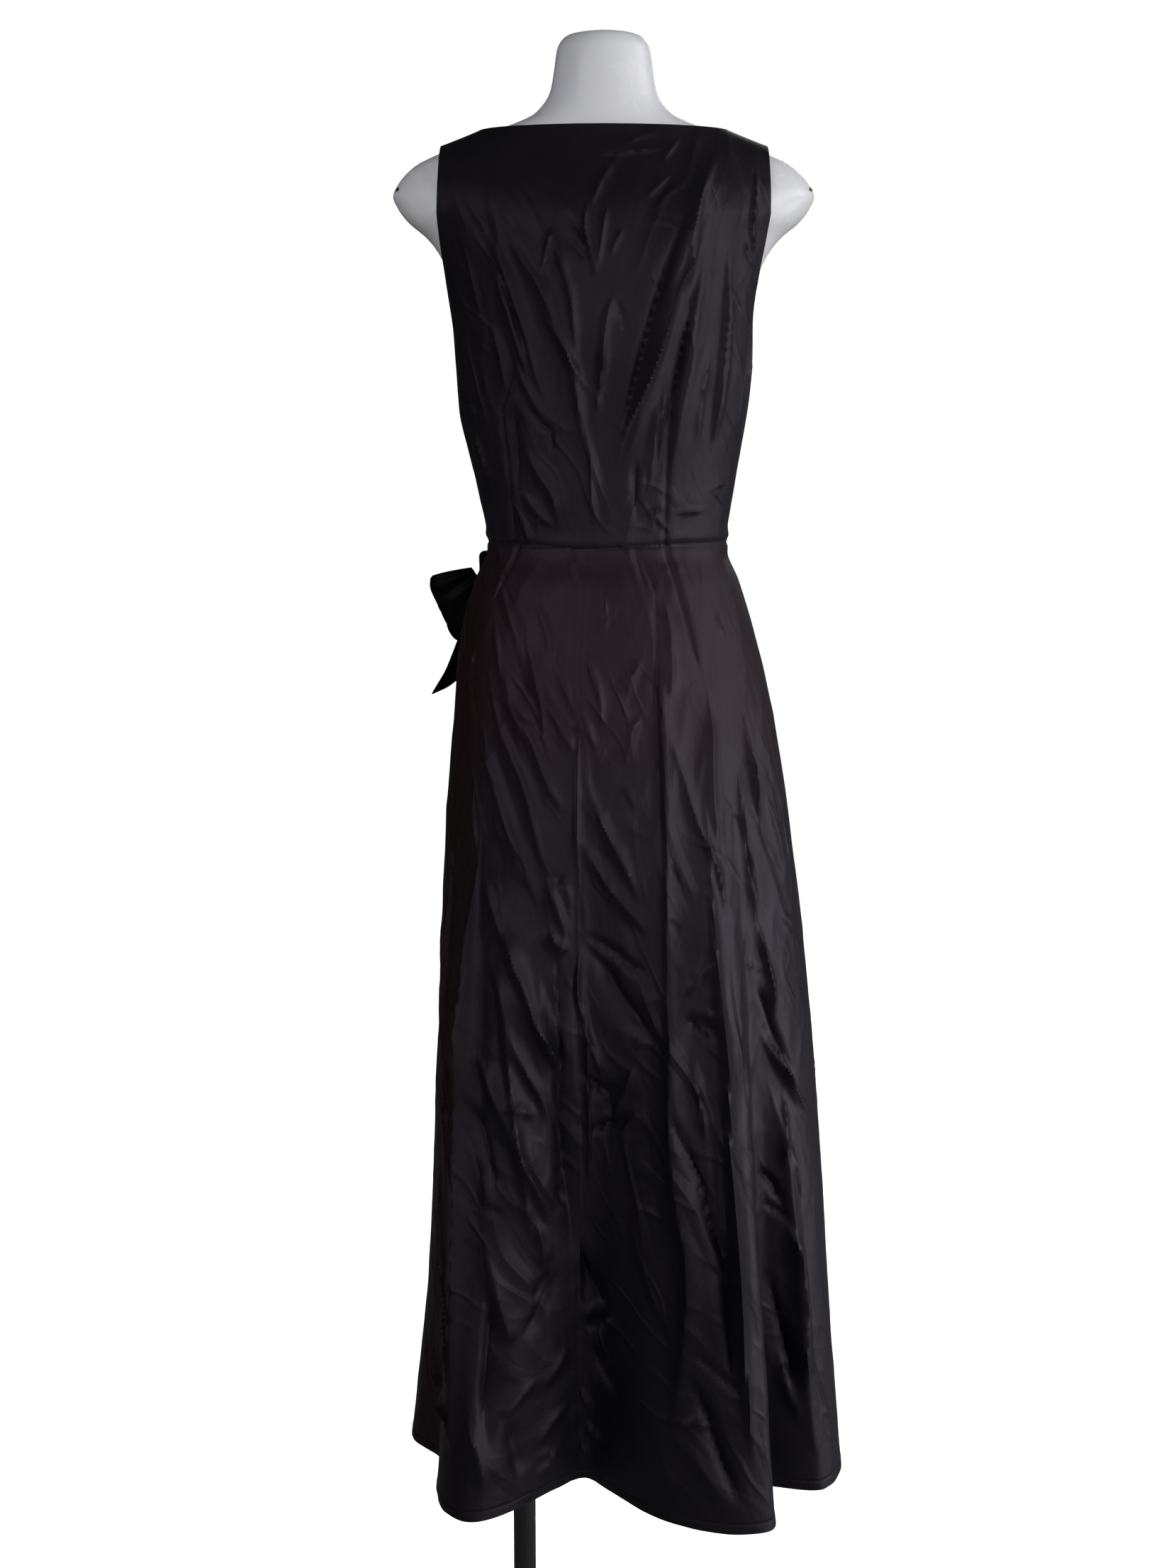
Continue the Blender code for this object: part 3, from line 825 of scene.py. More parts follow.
# ---- finishes ----
class Stitching(Enum):
    """Where a cloth piece shows a row of stitches."""

    NONE = 0
    HEM = 1


@dataclass(frozen=True)
class Satin:
    """Black satin with a broad, slightly uneven sheen. Its pattern follows the flat cloth.

    Sizes that end in _cells are how many cells of a pattern fit in a metre, each way. Its colour
    holds painted shade, darker towards the bottom, and a warm painted reflection on the skirt's
    side at the wearer's left.
    """

    name: str
    colour: Triple = (0.0066, 0.0057, 0.0080)
    # painted shade: a darker colour towards the bottom of the dress, where less light falls
    low: Triple = (0.0036, 0.0032, 0.0046)
    hip: Triple = (0.0115, 0.0056, 0.0070)
    # painted reflection: a warm tint for a warm room reflected on the skirt's side at the wearer's
    # left
    warm_reflection: Triple = (0.0082, 0.0030, 0.0023)
    tint: Triple = (0.90, 0.80, 1.0)
    sheen: Triple = (0.80, 0.78, 0.85)
    roughness: float = 0.55
    gloss: float = 0.37
    # heights over which the painted shade low down gives way to the main colour
    painted_shade_to: Pair = (0.72, 1.02)
    hip_from: Pair = (0.92, 1.14)
    hip_to: Pair = (1.268, 1.276)
    # where the painted warm reflection starts and where it is full, across the skirt towards the
    # wearer's left
    warm_reflection_from: Pair = (0.112, 0.158)
    streak_cells: Triple = (260.0, 14.0, 1.0)
    crinkle_cells: Triple = (46.0, 24.0, 1.0)
    fine_cells: Triple = (150.0, 90.0, 1.0)
    mark_cells: Triple = (17.0, 3.6, 1.0)
    long_mark_cells: Triple = (24.0, 9.0, 1.0)
    mark_width: float = 0.06
    leans: Pair = (-20.0, 16.0)
    weave: float = 0.00045
    stitching: Stitching = Stitching.NONE
    stitch_line: float = 0.0100
    stitch_length: float = 0.0032
    stitch_half: float = 0.0007
    furrow_half: float = 0.0022

    def material(self) -> bpy.types.Material:
        """Make the material.

        Returns:
            The satin, with its stitches where it has them.
        """
        board = Board(self.name)
        flat = board.node("ShaderNodeTexCoord", output="UV")
        place = board.node("ShaderNodeTexCoord", output="Object")
        left, _, height = board.split(place)
        skirt = 1 - height.step(*self.hip_to)
        cloudy = board.grain(place, 6.0, 3.0, 0.6) - 0.5
        # painted shade: the colour darkens towards the bottom, where less light falls
        upper = (height + cloudy * 0.3).step(*self.painted_shade_to)
        colour = board.blend(upper, self.low, self.colour)
        colour = board.blend(height.step(*self.hip_from) * skirt, colour, self.hip)
        # painted reflection: the skirt's side at the wearer's left takes a warm tint for a warm
        # room reflected there
        warm_reflection_side = (left + (height - 0.9) * 0.04 + cloudy * 0.015).step(*self.warm_reflection_from)
        colour = board.blend(warm_reflection_side * skirt, colour, self.warm_reflection)

        streaks = board.grain(board.stretched(flat, self.streak_cells, 8), 1.0, 3.0, 0.6)
        patches = board.grain(flat, 24.0, 3.0, 0.6)
        roughness = (self.roughness - 0.04 + upper * 0.04 + (streaks - 0.5) * 0.10
                     + (patches - 0.5) * 0.14)
        board.feed(Base_Color=colour, Roughness=roughness, Normal=self.surface(board, flat, place),
                   Specular_IOR_Level=self.gloss, Specular_Tint=self.tint, Sheen_Weight=0.01,
                   Sheen_Roughness=0.35, Sheen_Tint=self.sheen)
        return board.material

    def surface(self, board: Board, flat: Wire, place: Wire) -> Wire:
        """Raise the small relief: crinkles, pressed marks, threads and stitches.

        Args:
            board: the material's board.
            flat: the place on the flat cloth.
            place: the place on the object.

        Returns:
            The normal.
        """
        across, along, _ = board.split(flat)
        left, _, height = board.split(place)
        crinkle = board.grain(board.stretched(flat, self.crinkle_cells, 14), 1.0, 4.0, 0.62, 0.7)
        fine = board.grain(board.stretched(flat, self.fine_cells, -20), 1.0, 2.0, 0.5, 0.3)
        threads = (across * (2 * math.pi / self.weave)).wave() * (
            along * (2 * math.pi / (self.weave * 2.2)) + across * 900.0).wave()
        side = left.step(-0.02, 0.02)
        marks = (board.lines(flat, self.mark_cells, self.leans[0], self.mark_width) * side
                 + board.lines(flat, self.mark_cells, self.leans[1], self.mark_width) * (1 - side)
                 + board.lines(flat, self.long_mark_cells, self.leans[0] * 1.8, 0.05) * 0.4)
        marks = marks * board.grain(place, 7.0, 1.0).step(0.36, 0.6) * (
            1 - height.step(1.56, 1.66) * 0.7)
        normal = board.bump(crinkle, 0.0014, 0.55)
        normal = board.bump(marks, 0.0018, 1.0, normal)
        normal = board.bump(fine, 0.0006, 0.45, normal)
        normal = board.bump(threads, 0.00003, 0.35, normal)
        if self.stitching is Stitching.HEM:
            off_line = (along - self.stitch_line).size()
            thread = 1 - (off_line / self.stitch_half).step(0.3, 1.0)
            dash = across.part(self.stitch_length).step(0.08, 0.22)
            furrow = 1 - (off_line / self.furrow_half).step(0.0, 1.0)
            normal = board.bump(thread * dash - furrow * 1.4, 0.0006, 0.9, normal)
        return normal


@dataclass(frozen=True)
class GlossyShell:
    """The form's white plastic, lightly marked by handling, with a screw hole in each cap."""

    name: str
    colour: Triple = (0.83, 0.835, 0.87)
    worn: Triple = (0.76, 0.72, 0.71)
    scuffed: Triple = (0.45, 0.43, 0.42)
    # painted shade: the dark inside of each screw hole, which is only a dark spot with a shallow
    # bump
    hollow: Triple = (0.03, 0.03, 0.03)
    roughness: float = 0.27
    screw_height: float = 1.628
    screw_reach: float = 0.2075
    screw_edge: Pair = (0.0016, 0.0026)
    seam_half: float = 0.0008

    def material(self) -> bpy.types.Material:
        """Make the material.

        Returns:
            The plastic.
        """
        board = Board(self.name)
        place = board.node("ShaderNodeTexCoord", output="Object")
        across, deep, height = board.split(place)
        marks = board.grain(place, 9.0, 4.0, 0.6)
        scuffs = board.grain(board.stretched(place, (60.0, 60.0, 14.0)), 1.0, 4.0, 0.65, 0.8)
        colour = board.blend(marks.step(0.50, 0.78) * 0.6, self.colour, self.worn)
        colour = board.blend(scuffs.step(0.66, 0.74) * 0.25, colour, self.scuffed)
        off_side, off_height = across.size() - self.screw_reach, height - self.screw_height
        gap = (off_side * off_side + off_height * off_height) ** 0.5
        # each screw hole is painted dark: painted shade for its inside
        hole = (1 - gap.step(*self.screw_edge)) * deep.above(0.0)
        colour = board.blend(hole, colour, self.hollow)
        seam = 1 - (across.size() / self.seam_half).step(0.2, 1.0)
        normal = board.bump(board.grain(place, 26.0, 2.0, 0.5), 0.0010, 0.25)
        normal = board.bump(0 - hole, 0.0015, 0.8, normal)
        normal = board.bump(seam, 0.0002, 0.3, normal)
        roughness = self.roughness + (marks - 0.5) * 0.25 + scuffs.step(0.6, 0.8) * 0.15
        board.feed(Base_Color=colour, Roughness=roughness, Normal=normal, IOR=1.48)
        return board.material


@dataclass(frozen=True)
class DarkPaint:
    """Dark grey stand paint, chipped through to bare metal in places."""

    name: str
    colour: Triple = (0.016, 0.017, 0.021)
    dusty: Triple = (0.035, 0.036, 0.040)
    bare: Triple = (0.30, 0.27, 0.24)
    roughness: float = 0.42
    chips: float = 0.70

    def material(self) -> bpy.types.Material:
        """Make the material.

        Returns:
            The paint.
        """
        board = Board(self.name)
        place = board.node("ShaderNodeTexCoord", output="Object")
        chips = board.grain(board.stretched(place, (55.0, 55.0, 30.0)), 1.0, 5.0, 0.62, 0.4)
        zones = board.grain(place, 7.0, 1.0, 0.5)
        chipped = (chips + (zones - 0.5) * 0.5).step(self.chips, self.chips + 0.03)
        grain = board.grain(place, 900.0, 2.0, 0.5)
        dust = board.grain(place, 12.0, 3.0, 0.6).step(0.45, 0.8)
        colour = board.blend(dust * 0.5, self.colour, self.dusty)
        colour = board.blend(chipped, colour, self.bare)
        normal = board.bump(1 - chipped, 0.0002, 0.8, board.bump(grain, 0.0001, 0.4))
        board.feed(Base_Color=colour, Roughness=self.roughness + grain * 0.12,
                   Metallic=chipped * 0.8, Normal=normal)
        return board.material


@dataclass(frozen=True)
class Paper:
    """The studio's pale paper, which glows a little to the eye and lies dim in reflections."""

    name: str
    colour: Triple = (0.93, 0.93, 0.93)
    fibre: Triple = (0.90, 0.90, 0.905)
    reflected: Triple = (0.22, 0.22, 0.22)
    glow: float = 0.95

    def material(self) -> bpy.types.Material:
        """Make the material.

        Returns:
            The paper.
        """
        board = Board(self.name)
        fibre = board.grain(board.node("ShaderNodeTexCoord", output="Object"), 4.0, 4.0, 0.6)
        seen = board.node("ShaderNodeLightPath", output="Is Camera Ray")
        colour = board.blend(fibre * 0.3, self.colour, self.fibre)
        board.feed(Base_Color=board.blend(seen, self.reflected, colour), Roughness=0.9,
                   Specular_IOR_Level=0.1, Emission_Strength=self.glow,
                   Emission_Color=board.blend(seen, (0.0, 0.0, 0.0), (1.0, 1.0, 1.0)))
        return board.material


# ---- the dress ----
class Side(Enum):
    """Which half of the bodice a panel is."""

    BACK = 1
    FRONT = -1


@dataclass(frozen=True)
class Dart:
    """A sewn dart, as shares of the way from a panel's centre line to its side."""

    waist: float
    tip: float
    tip_height: float


def declare(piece: Piece, node: str, finish: bpy.types.Material) -> None:
    """Give a piece its finish, attach it to the root body and hide the solid that it stands for.

    Args:
        piece: the finished mesh.
        node: the solid's node.
        finish: the material.
    """
    piece.data.materials.clear()
    piece.data.materials.append(finish)
    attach(piece, "root")
    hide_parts(node)
    log.info("%s: %d faces", piece.name, len(piece.data.polygons))


@dataclass(frozen=True)
class ClothPiece:
    """One cut piece of the dress: its flat cloth, how it is held and what it rests on."""

    node: str
    flat: Pair
    area: float
    held: str = "draped"
    rests_on: str = "form_shell"

    def declare(self, piece: Piece, satin: bpy.types.Material) -> None:
        """Dress a finished mesh and log how much cloth it has.

        Args:
            piece: the mesh.
            satin: its material.
        """
        declare(piece, self.node, satin)
        face = sum(polygon.area for polygon in piece.data.polygons) / 2
        log.info("%s: %.4f square metres of cloth", piece.name, face)


def seam_tuck(distance: Array, depth: float = 0.0009) -> Array:
    """Turn the cloth in beside a seam, between two low banks.

    Args:
        distance: how far each point is from the seam.
        depth: how far the cloth turns in.

    Returns:
        How far each point stands out.
    """
    groove_half, bank, bank_place, bank_half = 0.0022, 0.0003, 0.0075, 0.0035
    return (bank * np.exp(-((distance - bank_place) / bank_half) ** 2)
            - depth * np.exp(-(distance / groove_half) ** 2))


def seam_bulk(from_side: Array, from_waist: Array) -> Array:
    """Return how far the turned-in cloth pushes out where a side seam meets the waist seam."""
    lift, width, height = 0.0028, 0.030, 0.016
    return lift * smooth(1 - from_side / width) * smooth(1 - from_waist / height)


def pucker(distance: Array, along: Array, grain: Grain, lift: float,
           reach: float, spacing: float) -> Array:
    """Return small waves that cross a seam and fade away from it.

    Args:
        distance: distance from the seam.
        along: distance along the seam.
        grain: the random field that makes the waves uneven.
        lift: the waves' height.
        reach: how far from the seam they fade out.
        spacing: the usual distance between them.

    Returns:
        How far each point stands out.
    """
    waves = grain.at(along / spacing + distance * 14, np.zeros_like(along) + 3.5) * 1.6
    return lift * waves * np.exp(-np.abs(distance) / reach)


def dart_seam(distance: Array, height: Array, grain: Grain, depth: float, spacing: float) -> Array:
    """Sew a dart: its tuck, with small waves across it.

    Args:
        distance: how far each point is from the dart's line, below 0 on one side.
        height: the points' heights.
        grain: the random field that makes the waves uneven.
        depth: how far the cloth turns in.
        spacing: the usual distance between the waves.

    Returns:
        How far each point stands out.
    """
    lift, reach = 0.0003, 0.006
    waves = pucker(distance, height, grain, lift, reach, spacing)
    return seam_tuck(np.abs(distance), depth) + waves


def crumple(chart_x: Array, height: Array, grains: Sequence[Grain]) -> Array:
    """Make the small uneven wrinkles that worn satin keeps.

    Args:
        chart_x: the points' places across the cloth.
        height: their heights.
        grains: at least three random fields: broad, sharp and small.

    Returns:
        How far each point stands out, about one unit at most.
    """
    lean = chart_x + height * 0.35
    broad = grains[0].at(lean / 0.055, height / 0.13)
    sharp = grains[1].ridges(lean / 0.045, height / 0.11) - 0.3
    small = grains[2].ridges((chart_x - height * 0.2) / 0.022, height / 0.05) - 0.3
    return broad * 0.8 + sharp * 0.6 + small * 0.2


@dataclass
class BodicePanel:
    """The bodice's back or front, in one piece from the waist seam to the shoulder seams.

    Its darts and edges are told apart by 1 for the wearer's left and -1 for the right.
    """

    side: Side
    darts: dict[int, Dart]
    creases: Sequence[Crease]
    seed: int
    columns: int
    crumple_lift: float = 0.0009
    step: float = 0.0024

    LAP = 0.2               # how far it laps its neighbour at the side seams, in degrees
    TURN_FADE = 1.450       # from here up to the shoulder band, the dress's own turn fades out
    BAND_LENGTH = 0.115     # how far the shoulder band runs
    BAND_REACH = 0.2        # further out than the band is anywhere
    HALF_WIDTH = 0.165      # how wide half the panel is, for distances from its darts
    WAIST_TUCK, DART_TUCK = 0.0017, 0.0018
    WAIST_WAVES = (0.0006, 0.014, 0.022)    # lift, reach and spacing of the waves at the waist
    CALM = (0.020, 0.018, 0.015)    # crumples stay low beside the edges, the waist and the top
    BINDING = (0.0003, 0.006)       # how far armholes and neckline stand out, and their width
    FORM_GAP = 0.0007               # kept between the cloth's inner face and the form

    def angle(self, share: Array, height: Array) -> Array:
        """Turn places across the panel into angles of its section.

        Args:
            share: signed shares of the way from the panel's middle to its edge.
            height: the points' heights.

        Returns:
            Their angles, in degrees.
        """
        turned = 1 - smooth((height - self.TURN_FADE) / (SHOULDER_BAND - self.TURN_FADE))
        centre = self.side.value * TWIST * turned
        return mix(centre, self.edge(np.where(share >= 0, 1, -1), height), np.abs(share))

    def edge(self, hand: Array, height: Array) -> Array:
        """Find the panel's edge: the side seam, and the armhole above it.

        Args:
            hand: which edge is wanted.
            height: the points' heights.

        Returns:
            The edge's angles, in degrees.
        """
        seam = hand * (SIDE_SPAN + self.LAP) + self.side.value * TWIST
        armpit = np.where(hand > 0, ARMPIT_LEFT, ARMPIT_RIGHT)
        level = np.maximum(height, ARMHOLE.heights[0])
        names = ("front", "front") if self.side is Side.FRONT else ("back_left", "back_right")
        reach = np.where(hand > 0, *(ARMHOLE.at(name, level) for name in names))
        ring = bodice_section(height)
        share = clamp(reach / np.where(hand > 0, ring.left, ring.right))
        opened = hand * np.degrees(np.arcsin(share ** (ring.square / 2)))
        return mix(seam, opened, clamp((height - armpit) / ARMPIT_CURVE) ** 0.5)

    def section(self, height: Array) -> Section:
        """Turn the bodice's section so that this panel's own depth comes first.

        Args:
            height: the points' heights.

        Returns:
            The section there.
        """
        ring = bodice_section(height)
        if self.side is Side.BACK:
            return ring
        return Section(ring.left, ring.right, ring.front, ring.back, ring.square)

    def neckline(self, x: Array) -> Array:
        """Return the neckline's height, level at the back and scooped at the front."""
        scoop = FRONT_SCOOP if self.side is Side.FRONT else 0.0
        return NECKLINE - scoop * (1 - clamp(np.abs(x) / NECK_CORNER) ** 2)

    def over_shoulder(self, share: Array, turn: Array) -> Array:
        """Lay out the band that folds over the shoulders.

        Args:
            share: signed shares of the way from the panel's middle to its edge.
            turn: 0 at the band's foot and 1 at its top edge.

        Returns:
            The band's points.
        """
        away, level = np.abs(share), np.full_like(share, SHOULDER_BAND)
        inner = NECK_CORNER * away / CORNER_SHARE
        outer = mix(NECK_CORNER, SHOULDER_TIP, (away - CORNER_SHARE) / (1 - CORNER_SHARE))
        top = np.sign(share) * np.where(away <= CORNER_SHARE, inner, outer)
        foot = bodice_section(level).point(self.angle(share, level))[0]
        x = top
        for _ in range(3):
            edge = self.neckline(x)
            ring = self.section(edge)
            reach = clamp(np.abs(x) / np.where(x >= 0, ring.left, ring.right))
            depth = ring.back * np.sqrt(1 - reach ** ring.square)
            last = np.maximum(np.arctan2(depth, edge - SHOULDER_BAND),
                              SEAM / 2 / (NECKLINE - SHOULDER_BAND))
            x = mix(foot, top, np.cos(last))
        tilt = mix(math.pi / 2, last, turn)
        x = mix(foot, top, np.cos(tilt))
        deep, up = self.side.value * np.sin(tilt), np.cos(tilt)
        out = halved(lambda far: bodice_section(SHOULDER_BAND + far * up).holds(x, far * deep),
                     x, self.BAND_REACH, 30)
        return np.stack([x, out * deep, SHOULDER_BAND + out * up], axis=-1)

    def dart_share(self, hand: int, height: Array) -> Array:
        """Return where a dart stands at a height."""
        dart = self.darts[hand]
        return mix(dart.waist, dart.tip, clamp((height - WAIST) / (dart.tip_height - WAIST)))

    def follow_darts(self, column: Array, height: Array) -> Array:
        """Turn even columns into shares that keep the darts on the same columns.

        Args:
            column: the columns' places, -1 to 1.
            height: the points' heights.

        Returns:
            The share of each point.
        """
        share = column
        for hand, dart in self.darts.items():
            place, at_dart = column * hand, self.dart_share(hand, height)
            inner = place / dart.waist * at_dart
            outer = mix(at_dart, 1.0, (place - dart.waist) / (1 - dart.waist))
            own = hand * np.where(place > dart.waist, outer, inner)
            share = np.where(place > 0, own, share)
        return share

    def base(self) -> tuple[Array, Array]:
        """Lay out the plain outer face.

        Returns:
            Its points, and the signed share of each of them.
        """
        marks = [-1.0, -self.darts[-1].waist, self.darts[1].waist, 1.0]
        places = crowded(-1, 1, 2 / self.columns, marks, 2.6, 0.035)
        body = crowded(0, 1, self.step / (SHOULDER_BAND - WAIST), [0.0], 2.0, 0.02)
        band = crowded(0, 1, self.step / self.BAND_LENGTH, [1.0], 2.0, 0.04)[1:]
        column, climb = np.meshgrid(places, body)
        level = mix(WAIST, SHOULDER_BAND, climb)
        share = self.follow_darts(column, level)
        for _ in range(2):
            angle = self.angle(share, level)
            around = angle if self.side is Side.BACK else 180 - angle
            level = mix(waist_height(around) + SEAM / 2, SHOULDER_BAND, climb)
        x, y = self.section(level).point(self.angle(share, level))
        lower = np.stack([x, self.side.value * y, level], axis=-1)
        column, turn = np.meshgrid(places, band)
        top_share = self.follow_darts(column, np.full_like(column, SHOULDER_BAND))
        return (np.concatenate([lower, self.over_shoulder(top_share, turn)]),
                np.concatenate([share, top_share]))

    def relief(self, chart: Chart, share: Array, from_edge: Array, rise: Array) -> Array:
        """Shape the creases, darts and seams.

        Args:
            chart: the points' places on the panel's chart.
            share: their signed shares.
            from_edge: how far they are from the nearer side edge.
            rise: how far they are from the waist seam.

        Returns:
            How far each point stands out of the plain face.
        """
        height, from_top = chart.height, rise[-1:] - rise
        grains = [Grain(self.seed + index) for index in range(4)]
        out = pressed(self.creases, chart)
        out += self.crumple_lift * crumple(chart.across, height, grains)
        calm = math.prod(smooth(gap / reach) for gap, reach in
                         zip((from_edge, rise, from_top), self.CALM))
        out *= (0.12 + 0.88 * calm) * smooth(rise / 0.010)
        out += pucker(rise, chart.across, grains[3], *self.WAIST_WAVES)
        for hand, dart in self.darts.items():
            off = (np.abs(share) - self.dart_share(hand, height)) * self.HALF_WIDTH
            off = np.where(np.sign(share) == hand, off, 1.0)
            live = smooth((dart.tip_height - height) / 0.030)
            out += live * dart_seam(off, height, grains[2], self.DART_TUCK, 0.016)
        armpit = np.where(share > 0, ARMPIT_LEFT, ARMPIT_RIGHT)
        seamed = smooth((armpit + 0.005 - height) / 0.01)
        out += seamed * (seam_tuck(from_edge) + seam_bulk(from_edge, rise))
        out += seam_tuck(rise, self.WAIST_TUCK)
        lift, width = self.BINDING
        bound = (1 - seamed) * np.exp(-(from_edge / width) ** 2)
        return out + lift * np.maximum(bound, np.exp(-(from_top / width) ** 2))

    def make(self, name: str) -> Piece:
        """Make the panel's mesh, with its darts, seams and creases.

        Args:
            name: the piece's name.

        Returns:
            The piece.
        """
        points, share = self.base()
        x, y, height = np.moveaxis(points, -1, 0)
        run, rise = lengths(points, 1), lengths(points, 0)
        across = run - np.array([[np.interp(0, xs, rs)] for xs, rs in zip(x, run)])
        out = self.relief(Chart(across, height, np.ones_like(across)), share,
                          np.minimum(run, run[:, -1:] - run), rise)
        bearing = np.degrees(np.arctan2(x, y))
        room = np.hypot(x, y) - reach_of(form_section(height), bearing)
        room = mix(room, SEAT, smooth((height - LIFT_START) / 0.03))
        out = np.maximum(out, -np.maximum(room - WALL - self.FORM_GAP, 0.0002))
        normal = outward_normals(points)
        facing = np.sign(np.mean(normal[..., 1]) * self.side.value)
        points = points + normal * facing * out[..., None]
        return make_sheet(name, points, np.stack([across, rise], axis=-1), facing)


@dataclass
class SkirtPanel:
    """One skirt panel, from the waist seam down to the hem.

    A dart is its angle at the waist, the angle of its tip, and its tip's height. Puckers and
    tucks are given for the seams at the panel's start and its end.
    """

    start: float
    end: float
    darts: Sequence[Triple]
    creases: Sequence[Crease]
    columns: int = 186
    step: float = 0.0041
    seam_puckers: Pair = (0.0004, 0.0004)
    tucks: Pair = (0.0012, 0.0012)
    seed: int = 21
    crumple_lift: float = 0.0019

    GIRTH_REACH = 0.20      # the reach at which crumples are as wide as they are drawn
    WAIST_TUCK, DART_TUCK = 0.0017, 0.0021
    WAIST_WAVES = (0.0005, 0.014, 0.022)    # lift, reach and spacing of the waves at the waist
    SEAM_WAVES = (1.0, 0.016, 0.017)        # the same along the seams, for a lift of one
    HEM_WAVES = (0.0007, 0.012, 0.014)
    HEM_FOLD = (0.0105, 0.0004)     # the turned-up hem's height and how far it stands out
    CALM = 0.022                    # crumples stay low this near to side seams and waist
    FORM_GAP = 0.0008               # kept between the cloth's inner face and the form

    def dart_angle(self, index: int, height: Array) -> Array:
        """Return a dart's angle at a height: its own above its tip, and its tip's below."""
        waist, tip, tip_height = self.darts[index]
        return mix(waist, tip, clamp((WAIST - height) / (WAIST - tip_height)))

    def base(self) -> tuple[Array, Array]:
        """Lay out the outer face with its long folds.

        Returns:
            Its points as bearing, height and reach from the axis, and the section's angle of
            each of them.
        """
        own = [self.start] + [dart[0] for dart in self.darts] + [self.end]
        places = crowded(self.start, self.end, (self.end - self.start) / self.columns, own, 2.2,
                         1.6)
        drops = crowded(0, 1, self.step / (WAIST - HEM), [0.0, 1.0], 2.2, 0.012)
        column, drop = np.meshgrid(places, drops)
        level = mix(WAIST, HEM, drop)
        lines = [self.start, *(self.dart_angle(index, level) for index in range(len(self.darts))),
                 self.end]
        angle = column
        for index in range(len(own) - 1):
            inside = (column >= own[index]) & (column <= own[index + 1])
            share = (column - own[index]) / (own[index + 1] - own[index])
            angle = np.where(inside, mix(lines[index], lines[index + 1], share), angle)
        height = mix(waist_height(angle) - SEAM / 2, HEM, drop)
        x, y = skirt_section(height).point(angle)
        bearing = np.degrees(np.arctan2(x, y))
        reach = np.hypot(x, y) + sum(fold.at(bearing, height) for fold in FOLDS)
        bearing = np.where(bearing < self.start - 30, bearing + 360, bearing)
        return np.stack([bearing, height, reach]), angle

    def relief(self, place: Array, angle: Array, from_seams: tuple[Array, Array]) -> Array:
        """Shape the creases, darts and seams.

        Args:
            place: the points' bearings, heights and reaches.
            angle: the section's angle of each point.
            from_seams: how far they are from the seams at the panel's start and end.

        Returns:
            How far each point stands out of the plain face.
        """
        bearing, height, reach = place
        grains = [Grain(self.seed + index) for index in range(4)]
        from_waist, from_hem = WAIST - 0.003 - height, height - HEM
        around = np.radians(bearing) * self.GIRTH_REACH
        strength = mix(0.55, 1.0, smooth((WAIST - height) / 0.30)) * mix(
            0.6, 1.0, smooth((height - 0.45) / 0.3))
        out = self.crumple_lift * strength * crumple(around, height, grains)
        out += pressed(self.creases, Chart(bearing, height, reach * math.pi / 180)) * mix(
            0.8, 1.1, smooth((1.08 - height) / 0.35))
        beside = np.minimum(*(run if abs(seam - TWIST) > 1 else np.full_like(run, 1.0)
                              for seam, run in zip((self.start, self.end), from_seams)))
        out *= smooth(beside / self.CALM) * smooth(from_waist / self.CALM)
        out += seam_bulk(beside, from_waist)
        out += pucker(from_waist, around, grains[3], *self.WAIST_WAVES)
        for index, (_, _, tip_height) in enumerate(self.darts):
            off = (angle - self.dart_angle(index, height)) * reach * math.pi / 180
            live = smooth((height - tip_height) / 0.025)
            out += live * dart_seam(off, height, grains[2], self.DART_TUCK, 0.015)
        low = 0.35 + 0.65 * smooth((1.05 - height) / 0.35)
        for from_seam, lift, depth in zip(from_seams, self.seam_puckers, self.tucks):
            out += seam_tuck(from_seam, depth)
            out += lift * low * pucker(from_seam, height, grains[1], *self.SEAM_WAVES)
        fold_height, fold_lift = self.HEM_FOLD
        out += seam_tuck(from_waist, self.WAIST_TUCK)
        out += fold_lift * smooth((fold_height - from_hem) / 0.001)
        return out + pucker(from_hem, around, grains[0], *self.HEM_WAVES)

    def make(self, name: str) -> Piece:
        """Make the panel's mesh, with its folds, darts, seams and creases.

        Args:
            name: the piece's name.

        Returns:
            The piece.
        """
        place, angle = self.base()
        bearing, height, reach = place
        turn = np.radians(bearing)
        radial = np.stack([np.sin(turn), np.cos(turn), np.zeros_like(turn)], axis=-1)
        points = radial * reach[..., None]
        points[..., 2] = height
        run = lengths(points, 1)
        from_seams = run, run[:, -1:] - run
        out = self.relief(place, angle, from_seams)
        room = reach - reach_of(form_section(np.maximum(height, FORM_BOTTOM)), bearing)
        room = np.where(height > FORM_BOTTOM - 0.02, room - WALL - self.FORM_GAP, 1.0)
        out = np.maximum(out, -np.maximum(room, 0.0))
        normal = outward_normals(points)
        facing = np.sign(np.mean(np.sum(normal * radial, axis=-1)))
        away = smooth(np.minimum(*from_seams) / 0.012)[..., None]
        points = points + mix(radial, normal * facing, away) * out[..., None]
        flat = np.stack([turn * np.mean(reach, axis=1, keepdims=True), height - HEM], axis=-1)
        return make_sheet(name, points, flat, facing)


